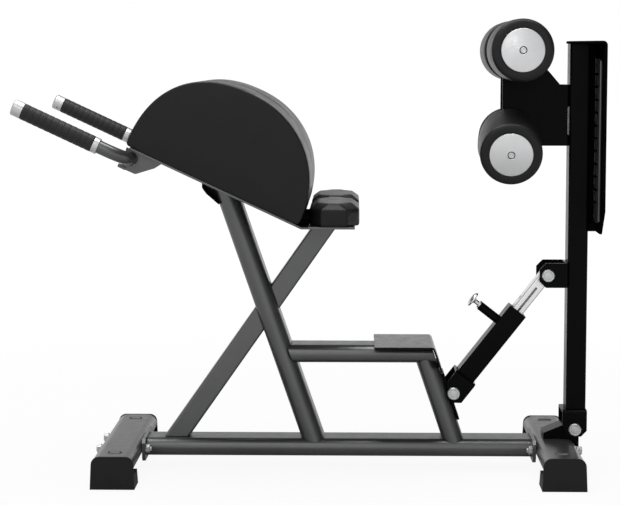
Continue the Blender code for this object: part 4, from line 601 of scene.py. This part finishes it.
def half_moon(seat, low, high, tall, inset):
    """The thigh pad's outline in the side plane, drawn in by inset, as world points at y = 0."""
    centre = low + (high - low) * (1.0 - FRONT_SHARE)
    base = PAD_LIFT + inset * 0.3
    points = []
    for i in range(2 * ARC_STEPS + 1):
        angle = math.pi * i / (2 * ARC_STEPS)
        front = i > ARC_STEPS
        reach, power = (high - centre, FRONT_POWER) if front else (centre - low, BACK_POWER)
        along = (reach - inset) * abs(math.cos(angle)) ** (2.0 / power) * (1.0 if front else -1.0)
        rise = (tall - inset) * math.sin(angle) ** (2.0 / power)
        points.append((centre + along, max(rise, 0.0) + base + PAD_FOOT))
    front_end, back_end = points[-1][0], points[0][0]
    points += [(front_end - 0.0012, base + 0.0040), (front_end - 0.0045, base + 0.0008)]
    start, end = front_end - 0.0085, back_end + 0.0085
    points += [(start + (end - start) * i / BASE_STEPS, base) for i in range(BASE_STEPS + 1)]
    points += [(back_end + 0.0045, base + 0.0008), (back_end + 0.0012, base + 0.0040)]
    return [seat + OUT * u + ABOVE * v for u, v in points]


def thigh_pad(near):
    """One half of the half-moon pad: a wrapped band, two side panels and a seam at each edge."""
    node = "thigh_pad_" + near
    low_corner, high_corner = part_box(node)
    reach = reach_along(node, (0.0, 0.0, 0.0), OUT)
    rise = reach_along(node, (0.0, 0.0, 0.0), ABOVE)
    seat = ABOVE * (rise[0] - GAP)
    tall = rise[1] - rise[0] - PAD_FOOT
    inner, outer = sorted((low_corner.y, high_corner.y), key=abs)
    width = abs(outer - inner)
    bm = bmesh.new()
    rows = []

    def ring(depth, inset, share=1.0):
        loop = half_moon(seat, reach[0], reach[1], tall, inset)
        middle = sum(loop, Vector()) / len(loop)
        y = inner + (1.0 if outer > inner else -1.0) * depth
        rows.append([bm.verts.new((middle.x + (p.x - middle.x) * share, y,
                                   middle.z + (p.z - middle.z) * share)) for p in loop])

    for share in PANEL_SHARES:
        ring(0.0, PANEL_INSET, share)
    for depth, inset in SEAM:
        ring(depth * SPLIT_GROOVE, inset)
    start = SEAM_DEPTH * SPLIT_GROOVE
    for i in range(1, WIDTH_STEPS):
        ring(start + (width - SEAM_DEPTH - start) * i / WIDTH_STEPS, 0.0)
    for depth, inset in reversed(SEAM):
        ring(width - depth, inset)
    for share in reversed(PANEL_SHARES):
        ring(width, PANEL_INSET, share)
    skin(bm, rows)
    for row in (rows[0], rows[-1]):
        hub = bm.verts.new(sum((v.co for v in row), Vector()) / len(row))
        skin(bm, [row, [hub]])
    pad = from_bmesh(node + "_cover", bm, sharp=180.0)
    points = np.array([v.co for v in pad.data.vertices], float)
    base = points @ np.array(ABOVE) < rise[0] + PINNED_BASE
    split = np.abs(points[:, 1] - inner) < PINNED_FACE
    edges = np.abs(np.abs(points[:, 1] - inner) - width * 0.5) > width * 0.5 - PINNED_EDGE
    side = np.abs(points[:, 1] - outer) < PINNED_FACE
    inflate(pad, base | split | (edges & ~side), THIGH_PRESSURE, THIGH_SWELL)
    subdivide(pad)
    finish_piece(pad, "frame", "vinyl", vinyl, node)


def knee_pad(near):
    """One knee pad: eight-sided, with a bevelled top edge, softened as stuffed vinyl is."""
    node = "knee_pad_" + near
    low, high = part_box(node)
    middle = (low + high) / 2.0
    half_x, half_y = (high.x - low.x) / 2.0, (high.y - low.y) / 2.0
    tall = high.z - low.z
    cut_x, cut_y = KNEE_CHAMFER
    bm = bmesh.new()

    def octagon(inset, height):
        x, y = half_x - inset, half_y - inset
        corners = [(x, y - cut_y), (x - cut_x, y), (cut_x - x, y), (-x, y - cut_y), (-x, cut_y - y),
                   (cut_x - x, -y), (x - cut_x, -y), (x, cut_y - y)]
        return [bm.verts.new((middle.x + a, middle.y + b, low.z + height)) for a, b in corners]

    rows = [octagon(KNEE_SOFT + 0.002, 0.0004), octagon(KNEE_SOFT, 0.004),
            octagon(KNEE_SOFT, tall - KNEE_BEVEL_HEIGHT), octagon(KNEE_BEVEL, tall - KNEE_SOFT)]
    skin(bm, rows)
    bm.faces.new(rows[0])
    bm.faces.new(rows[-1])
    pad = from_bmesh(node + "_cover", bm, sharp=180.0)
    edges = pad.modifiers.new("edges", "BEVEL")
    edges.width = KNEE_EDGE
    edges.segments = 3
    edges.limit_method = "ANGLE"
    edges.angle_limit = KNEE_EDGE_ANGLE
    remesh = pad.modifiers.new("grid", "REMESH")
    remesh.mode = "VOXEL"
    remesh.voxel_size = KNEE_VOXEL
    bpy.context.view_layer.update()
    shaped = bpy.data.meshes.new_from_object(pad.evaluated_get(bpy.context.evaluated_depsgraph_get()))
    pad.modifiers.clear()
    pad.data = shaped
    pad.data.shade_smooth()
    heights = np.array([v.co.z for v in pad.data.vertices], float)
    inflate(pad, heights < low.z + KNEE_PINNED, KNEE_PRESSURE, KNEE_SWELL)
    subdivide(pad)
    finish_piece(pad, "frame", "vinyl", vinyl, node)


# Handle bar, grips and their bright rings

def handles():
    """The bent bar, and a grip, a ring and an end cap on each of its arms."""
    bar_low = reach_along("handle_bar", (0.0, 0.0, 0.0), OUT)[0] + BAR_RADIUS
    grip_low, grip_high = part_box("grip_near")
    grip_middle = (grip_low + grip_high) / 2.0
    half = abs(grip_middle.y)
    origin = Vector((grip_middle.x, 0.0, grip_middle.z))
    cross = origin + OUT * (bar_low - origin.dot(OUT))
    bar_end = reach_along("grip_near", cross, OUT)[1]
    bends = []
    for sign in (-1.0, 1.0):
        centre = cross + OUT * BAR_BEND + Y_AXIS * sign * (half - BAR_BEND)
        turn = [centre + (Y_AXIS * sign * math.cos(a) - OUT * math.sin(a)) * BAR_BEND
                for a in (math.pi / 2.0 * i / BEND_STEPS for i in range(BEND_STEPS + 1))]
        bends.append(turn if sign < 0 else turn[::-1])
    near_end, far_end = (cross + OUT * bar_end + Y_AXIS * sign * half for sign in (-1.0, 1.0))
    path = [near_end, *bends[0], *bends[1], far_end]
    bar = swept_tube("handle_bar_tube", path, BAR_RADIUS, BAR_SIDES, BAR_WALL)
    finish_piece(bar, "frame", "frame_paint", frame_paint, "handle_bar")
    for near, sign in (("near", -1.0), ("far", 1.0)):
        axis_point = cross + Y_AXIS * sign * half
        place = axes(axis_point, Y_AXIS, OUT)
        grip(near, place, axis_point)
        low, high, radius = reach_along("grip_collar_" + near, axis_point, OUT)
        bore = BAR_RADIUS + GAP
        ring = turned("collar_ring_" + near, eased([
            (bore, low, 0.0), (radius - 0.0012, low, 0.0008), (radius, low + 0.0012, 0.0008),
            (radius, high - 0.0004, 0.0003), (radius - 0.0004, high, 0.0002), (bore, high, 0.0)]),
            place, closed=True)
        finish_piece(ring, "frame", "satin_aluminium", cap_aluminium, "grip_collar_" + near)
        grip_cap(near, sign, place, axis_point)


def grip(near, place, axis_point):
    """A rubber grip with a row of crowned bands between narrow grooves."""
    node = "grip_" + near
    low, high, radius = reach_along(node, axis_point, OUT)
    bore = BAR_RADIUS + 0.0002
    pitch = (high - low) / GRIP_BANDS
    profile = [(bore, low), (radius - 0.0010, low)]
    for band in range(GRIP_BANDS):
        for i in range(GRIP_ROWS + (1 if band == GRIP_BANDS - 1 else 0)):
            share = i / GRIP_ROWS
            groove = math.exp(-(min(share, 1.0 - share) * pitch / GRIP_GROOVE_WIDTH) ** 2)
            crown = GRIP_CROWN * math.sin(math.pi * share)
            profile.append((radius - GRIP_GROOVE * groove + crown, low + pitch * (band + share)))
    profile[2] = (radius - 0.0006, low + 0.0004)
    profile[-1] = (radius - 0.0006, high - 0.0004)
    profile += [(radius - 0.0010, high), (bore, high)]
    obj = turned("grip_sleeve_" + near, profile, place, closed=True)
    finish_piece(obj, "frame", "rubber", grip_rubber, node)


def grip_cap(near, sign, place, axis_point):
    """The turned end cap with the grub screw on its inner lower side."""
    node = "grip_cap_" + near
    low, high, radius = reach_along(node, axis_point, OUT)
    start = reach_along("grip_" + near, axis_point, OUT)[1] + GAP
    plug = BAR_RADIUS - BAR_WALL - 2.0 * GAP
    cap = turned("end_cap_" + near, eased([
        (0.0, low, 0.0), (plug, low, 0.0005), (plug, start, 0.0), (radius - 0.0002, start, 0.0003),
        (radius, start + 0.0006, 0.0003), (radius, high, 0.0034), (radius - 0.0080, high, 0.0004),
        (radius - 0.0088, high - 0.0006, 0.0003), (0.0, high - 0.0006, 0.0)], 5), place)
    finish_piece(cap, "frame", "satin_aluminium", cap_aluminium, node)
    away = (Y_AXIS * -sign * math.cos(SCREW_TURN) - ABOVE * math.sin(SCREW_TURN)).normalized()
    centre = axis_point + OUT * (start + (high - start) * SCREW_SHARE) + away * (radius - 0.0016)
    screw = turned("grub_screw_" + near, eased([
        (0.0, 0.0, 0.0), (SCREW_RADIUS, 0.0, 0.0), (SCREW_RADIUS, 0.00175, 0.0002),
        (SCREW_SOCKET, 0.00175, 0.0001), (SCREW_SOCKET, 0.0008, 0.0), (0.0, 0.0008, 0.0)], 2),
        axes(centre, OUT, away), 36)
    finish_piece(screw, "frame", "plastic", black_screw_and_recess_shade)


# Rollers, hub caps and axles

def roller(place_name, level, axle_point):
    """One foam roller with its hub cap, a black ring of painted shade round the axle's head, and its half of
    the axle.
    """
    joint = joints["spin_" + place_name]
    origin, direction = Vector(joint["pos_m"]), Vector(joint["axis"]).normalized()
    body = "roller_" + place_name
    place = axes(origin, X_AXIS, direction)
    foam = "foam_roller_" + place_name
    low, high, radius = reach_along(foam, origin, direction)
    cap = "hub_cap_" + place_name
    cap_low, cap_high, cap_radius = reach_along(cap, origin, direction)
    rim = high + ROLLER_LIFT
    tube = turned("roller_sleeve_" + place_name, eased([
        (ROLLER_BORE, low, 0.0), (radius - ROLLER_EDGE * 1.6, low - ROLLER_LIFT * 0.3, 0.006),
        (radius, low, ROLLER_EDGE), (radius + ROLLER_CROWN, (low + high) / 2.0, 0.0),
        (radius, rim, ROLLER_EDGE), (cap_radius + 0.0045, rim, 0.0015),
        (cap_radius + 0.0006, high, 0.0004), (ROLLER_BORE, high, 0.0)], 8), place, 128, closed=True)
    finish_piece(tube, body, "roller_foam", roller_skin, foam)
    dome = [(cap_radius * share, cap_low + (cap_high - cap_low) * (1.0 - DOME_DROP * share * share), 0.0)
            for share in DOME_SHARES]
    disc = turned("hub_disc_" + place_name, eased([
        (SHADE_RING_RADIUS, cap_low, 0.0), (cap_radius - 0.0004, cap_low, 0.0002),
        (cap_radius, cap_low + 0.0005, 0.0002), (cap_radius - 0.0008, cap_low + 0.0013, 0.0004), *dome,
        (SHADE_RING_RADIUS + 0.0008, cap_high, 0.0004), (SHADE_RING_RADIUS, cap_high - 0.0006, 0.0)], 3),
        place, 128, closed=True)
    finish_piece(disc, body, "satin_aluminium", satin_aluminium, cap)
    # A black ring round the axle's head: painted shade of the recess between the head and the hub disc
    shade_ring_in, shade_ring_out, shade_ring_top = HEAD_RADIUS + 0.0002, SHADE_RING_RADIUS - 0.0001, cap_high - 0.0008
    shade_ring = turned("hub_seal_" + place_name, eased([
        (shade_ring_in, cap_low, 0.0), (shade_ring_out, cap_low, 0.0), (shade_ring_out, shade_ring_top, 0.0002),
        (shade_ring_in, shade_ring_top, 0.0002)], 2), place, 96, closed=True)
    finish_piece(shade_ring, body, "plastic", black_screw_and_recess_shade)
    tip = reach_along(level + "_axle", axle_point, direction)[1]
    end = tip - HEAD_LENGTH
    half_axle = turned("axle_%s" % place_name, eased([
        (0.0, 0.0, 0.0), (AXLE_RADIUS, 0.0, 0.0), (AXLE_RADIUS, end, 0.0006), (HEAD_RADIUS, end, 0.0),
        (HEAD_RADIUS, tip, 0.0009), (0.0050, tip, 0.0003), (0.0046, tip - 0.0006, 0.0002),
        (0.0030, tip - 0.0006, 0.0002), (0.0030, tip - 0.0032, 0.0), (0.0, tip - 0.0036, 0.0)], 4),
        axes(axle_point, X_AXIS, direction), 72)
    finish_piece(half_axle, "column", "axle_steel", satin_aluminium, level + "_axle")


def rollers():
    """Both pairs of rollers. The turned lower axle has its middle measured along its near half."""
    for level in ("upper", "lower"):
        near, far = joints["spin_%s_near" % level], joints["spin_%s_far" % level]
        near_place, near_way = Vector(near["pos_m"]), Vector(near["axis"]).normalized()
        far_place, far_way = Vector(far["pos_m"]), Vector(far["axis"]).normalized()
        middle = (near_place + far_place) / 2.0
        if level == "lower":
            middle = near_place - near_way * ((near_place - far_place).length / (near_way - far_way).length)
        for side in ("near", "far"):
            roller("%s_%s" % (level, side), level, middle)


# Bolts, pivots and the pull pin

def through_bolt(side, near):
    """A hexagon bolt through a foot, with its washer, and its nut and thread at the other end."""
    node = "through_bolt_%s_%s" % (side, near)
    low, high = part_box(node)
    sign = 1.0 if side == "right" else -1.0
    origin = Vector((0.0, (low.y + high.y) / 2.0, (low.z + high.z) / 2.0))
    direction = X_AXIS * sign
    start, end, _ = reach_along(node, origin, direction)
    face = end - BOLT_HEAD
    nut = start + BOLT_NUT
    profile = eased([
        (0.0, end, 0.0), (HEX_RADIUS * HEX_CROWN, end, 0.0), (HEX_RADIUS, end - 0.0016, 0.0),
        (HEX_RADIUS, face + 0.0027, 0.0), (0.0112, face + 0.0026, 0.0),
        (WASHER_RADIUS, face + 0.0018, 0.0003), (WASHER_RADIUS, face, 0.0002),
        (BOLT_RADIUS, face, 0.0), (BOLT_RADIUS, nut, 0.0), (HEX_RADIUS, nut, 0.0),
        (HEX_RADIUS, start + 0.0052, 0.0), (HEX_RADIUS * HEX_CROWN, start + 0.0040, 0.0),
        (0.0062, start + 0.0040, 0.0), (THREAD_RADIUS, start + 0.0040, 0.0),
        (THREAD_RADIUS, start + 0.0010, 0.0), (0.0048, start, 0.0), (0.0, start, 0.0)], 2)
    hexagon = {i for i, point in enumerate(profile) if abs(point[0] - HEX_RADIUS) < 1e-6}
    bolt = turned(node + "_turned", profile, axes(origin, Y_AXIS, direction), 72, hexagon=hexagon)
    finish_piece(bolt, "frame", "bright_steel", bright_steel, node)


def pivot(node, body):
    """A pivot bolt along Y with a flat cap on each end, grooved round its middle."""
    low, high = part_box(node)
    centre = (low + high) / 2.0
    half, radius = (high.y - low.y) / 2.0, (high.x - low.x) / 2.0
    shank = CLEVIS_RADIUS if node == "clevis_bolt" else PIVOT_RADIUS
    face = half - CAP_DEPTH
    ring = radius * CAP_GROOVE
    side = [(0.0, half - 0.0002, 0.0), (ring - 0.0007, half - 0.0002, 0.0003),
            (ring - 0.0003, half - 0.0011, 0.0001), (ring + 0.0003, half - 0.0011, 0.0001),
            (ring + 0.0007, half, 0.0003), (radius - 0.0020, half, 0.0006),
            (radius, half - 0.0030, 0.0010), (radius, face, 0.0003), (shank, face, 0.0)]
    if node == "clevis_bolt":
        wide, inner, drop = SPACER
        side += [(shank, face - drop, 0.0), (wide, face - drop, 0.0003), (wide, inner, 0.0003),
                 (shank, inner, 0.0)]
    profile = eased(side + [(r, -h, f) for r, h, f in reversed(side)], 3)
    cap = turned(node + "_turned", profile, axes(centre, X_AXIS, Y_AXIS), 96)
    finish_piece(cap, body, "bright_steel", bright_steel, node)


def pull_pin():
    """The chromed pull pin: nose, shoulder, stem, collar and a mushroom knob."""
    direction = Vector(joints["pin_pull"]["axis"]).normalized()
    low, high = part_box("pull_pin")
    middle = (low + high) / 2.0
    start, end, _ = reach_along("pull_pin", middle, direction)
    knob = end - KNOB_DEPTH
    collar = start + (end - start) * COLLAR_SHARE
    profile = eased([
        (0.0, start, 0.0), (0.0045, start, 0.0), (PIN_NOSE, start + 0.0012, 0.0),
        (PIN_NOSE, start + 0.0200, 0.0), (PIN_SHOULDER, start + 0.0200, 0.0),
        (PIN_SHOULDER, start + 0.0240, 0.0), (PIN_STEM, start + 0.0245, 0.0),
        (PIN_STEM, collar, 0.0), (PIN_COLLAR, collar, 0.0006), (PIN_COLLAR, collar + 0.0050, 0.0012),
        (PIN_STEM, collar + 0.0050, 0.0), (PIN_STEM, knob - 0.0060, 0.0030), (0.0100, knob - 0.0006, 0.0020),
        (0.0192, knob - 0.0002, 0.0006), (0.0200, knob + 0.0010, 0.0006), (0.0196, knob + 0.0034, 0.0012),
        (0.0160, knob + 0.0066, 0.0060), (0.0090, end - 0.0006, 0.0080), (0.0, end, 0.0)], 4)
    pin = turned("pull_pin_turned", profile, axes(middle, Y_AXIS, direction), 96)
    finish_piece(pin, "pin", "chrome", polished_steel, "pull_pin")


# Small trim

def foot_plate_web():
    """The web that joins the foot plate to the column above its stay."""
    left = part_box("column_tube")[1].x + GAP
    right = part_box("tread_mat")[0].x - GAP
    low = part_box("foot_plate_stay")[1].z + 0.0005
    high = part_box("foot_plate")[1].z - WEB_HEADROOM
    slab("foot_plate_web", (left, -WEB_HALF, low), (right, WEB_HALF, high), "column", "black_paint",
         matte_black, 0.0006)


def pad_strip():
    """A black strip of painted shade on the pad plate, in the corner between the thigh pads and the knee
    pads, where they shade the plate.
    """
    knee_low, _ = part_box("knee_pad_near")
    seat = ABOVE * (reach_along("thigh_pad_near", (0.0, 0.0, 0.0), ABOVE)[0] - GAP)
    level = knee_low.z + 0.0002
    bend = seat.x - math.cos(TILT) * (level - seat.z) / math.sin(TILT)
    half = abs(knee_low.y) - 0.002
    corner = Vector((bend, 0.0, level))
    path = [corner + OUT * STRIP_UP, corner, Vector((knee_low.x - 0.0006, 0.0, level))]
    bm = bmesh.new()
    ends = []
    for y in (-half, half):
        below = [bm.verts.new((p.x, y, p.z)) for p in path]
        above = [bm.verts.new((p.x, y, p.z + STRIP_THICKNESS)) for p in path]
        ends.append(below + above[::-1])
    skin(bm, ends)
    for corners in ((0, 1, 4, 5), (1, 2, 3, 4)):
        for end in ends:
            bm.faces.new([end[k] for k in corners])
    finish_piece(from_bmesh("pad_strip", bm), "frame", "vinyl", matte_black)


def tread_trims():
    """A thin metal strip along each long edge of the tread."""
    low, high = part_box("tread_mat")
    for side, edge, sign in (("near", low.y, -1.0), ("far", high.y, 1.0)):
        a, b = sorted(edge + sign * away for away in TRIM_SPAN)
        slab("tread_trim_" + side, (low.x - 0.0004, a, low.z + TRIM_INSET), (high.x, b, high.z - TRIM_INSET),
             "column", "frame_paint", frame_paint, 0.0004)


def foot_slot_rim(side, near):
    """The raised lip round a foot tube's slot: an oval ring standing on the tube."""
    tube_low, tube_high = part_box(side + "_foot_tube")
    boot_low, boot_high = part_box("boot_%s_%s" % (side, near))
    across = boot_low.y + SLOT_INSET if near == "near" else boot_high.y - SLOT_INSET
    half_length, half_width = SLOT_HALF
    straight = half_length - half_width
    bm = bmesh.new()
    rows = []
    for reach, share in RIM:
        row = []
        for k in range(RIM_STEPS):
            angle = 2.0 * math.pi * (k + 0.5) / RIM_STEPS
            x, y = (half_width - reach) * math.cos(angle), (half_width - reach) * math.sin(angle)
            row.append(bm.verts.new((math.copysign(straight, x) + x, y, RIM_HEIGHT * share)))
        rows.append(row)
    skin(bm, rows + rows[:1])
    place = Matrix.Translation(((tube_low.x + tube_high.x) / 2.0, across, tube_high.z))
    rim = from_bmesh("foot_slot_rim_%s_%s" % (side, near), bm, place)
    finish_piece(rim, "frame", "frame_paint", frame_paint)


# Stage

def floor():
    """A pale floor that takes the object's shadow.

    The camera sees it almost white, and white further out; mirrored in the object, it is dark close by.
    """
    mesh = bpy.data.meshes.new("floor")
    reach, level = FLOOR_REACH, -FLOOR_DROP
    mesh.from_pydata([(-reach, -reach, level), (reach, -reach, level), (reach, reach, level),
                      (-reach, reach, level)], [], [(0, 1, 2, 3)])
    plane = bpy.data.objects.new("floor", mesh)
    bpy.context.scene.collection.objects.link(plane)
    material = bpy.data.materials.new("pale_floor")
    material.use_nodes = True
    net = Nodes(material.node_tree)
    net.tree.nodes.clear()
    path = net.add("ShaderNodeLightPath").outputs
    clear = net.maths("MAXIMUM", path["Is Camera Ray"], path["Is Transmission Ray"])
    here = net.add("ShaderNodeNewGeometry").outputs["Position"]
    away = net.vector("LENGTH", {0: here}, "Value")
    seen = net.maths("MULTIPLY", clear, net.smooth(away, *SEEN_FLOOR))
    mirrored = net.maths("MULTIPLY", path["Is Glossy Ray"], net.smooth(away, *MIRRORED_FLOOR))
    share = net.maths("MAXIMUM", seen, mirrored)
    grey = (FLOOR_COLOUR, FLOOR_COLOUR, FLOOR_COLOUR, 1.0)
    diffuse = net.add("ShaderNodeBsdfDiffuse", {"Color": grey}).outputs[0]
    glow = net.add("ShaderNodeEmission", {"Color": (1.0, 1.0, 1.0, 1.0), "Strength": FLOOR_WHITE}).outputs[0]
    mix = net.add("ShaderNodeMixShader", {0: share, 1: diffuse, 2: glow}).outputs[0]
    net.add("ShaderNodeOutputMaterial", {"Surface": mix})
    mesh.materials.append(material)


def studio_world():
    """White for the camera; mirrored, it darkens behind, overhead and to each side as a studio's flags do."""
    world = bpy.data.worlds.new("studio")
    bpy.context.scene.world = world
    world.use_nodes = True
    net = Nodes(world.node_tree)
    net.tree.nodes.clear()
    place = net.add("ShaderNodeTexCoord").outputs["Generated"]
    parts = net.add("ShaderNodeSeparateXYZ", {0: place}).outputs
    ceiling = net.smooth(parts["Z"], *CEILING_SPAN)
    right = net.smooth(parts["X"], *RIGHT_SPAN)
    left = net.smooth(parts["X"], *LEFT_SPAN)
    behind = net.maths("MULTIPLY", net.smooth(parts["Y"], *BEHIND_SPAN), net.smooth(parts["Z"], *BEHIND_RISE))
    open_side = net.maths("MULTIPLY", net.maths("MULTIPLY", ceiling, right), left)
    mirrored = net.maths("MULTIPLY", open_side, net.maths("SUBTRACT", 1.0, behind))
    path = net.add("ShaderNodeLightPath").outputs
    clear = net.maths("MAXIMUM", path["Is Camera Ray"], path["Is Transmission Ray"])
    glossy = net.maths("MULTIPLY", path["Is Glossy Ray"], mirrored)
    plain = net.maths("SUBTRACT", 1.0, net.maths("MAXIMUM", clear, path["Is Glossy Ray"]))
    fill = net.maths("MULTIPLY", plain, WORLD_FILL)
    strength = net.maths("ADD", net.maths("ADD", clear, glossy), fill)
    background = net.add("ShaderNodeBackground", {"Color": (1.0, 1.0, 1.0, 1.0), "Strength": strength})
    net.add("ShaderNodeOutputWorld", {"Surface": background.outputs[0]})


def soft_box(name, place, target, size, power, mirrored):
    """An area lamp, size wide and deep; an unmirrored one only fills in the shade."""
    data = bpy.data.lights.new(name, "AREA")
    data.shape = "RECTANGLE"
    data.size, data.size_y = size
    data.energy = power
    lamp = bpy.data.objects.new(name, data)
    lamp.location = place
    lamp.rotation_euler = (Vector(target) - Vector(place)).to_track_quat("-Z", "Y").to_euler()
    lamp.visible_glossy = mirrored
    lamp.visible_camera = False
    bpy.context.scene.collection.objects.link(lamp)


def camera():
    data = bpy.data.cameras.new("camera")
    data.lens = CAMERA_LENS
    data.sensor_width = SENSOR_WIDTH
    seen_from = bpy.data.objects.new("camera", data)
    seen_from.location = CAMERA_PLACE
    seen_from.rotation_euler = (math.pi / 2.0 - CAMERA_PITCH, 0.0, CAMERA_YAW)
    bpy.context.scene.collection.objects.link(seen_from)
    bpy.context.scene.camera = seen_from


def stage():
    """The floor, the world, the lamps and the camera."""
    bpy.context.scene.view_settings.view_transform = "Standard"
    floor()
    studio_world()
    for lamp in SOFT_BOXES:
        soft_box(*lamp)
    camera()


dress_nodes()
for near in ("near", "far"):
    thigh_pad(near)
    knee_pad(near)
    for side in ("left", "right"):
        through_bolt(side, near)
        foot_slot_rim(side, near)
foot_plate_web()
pad_strip()
tread_trims()
handles()
rollers()
pivot("column_pivot_bolt", "frame")
pivot("arm_pivot_bolt", "frame")
pivot("clevis_bolt", "column")
pull_pin()
stage()
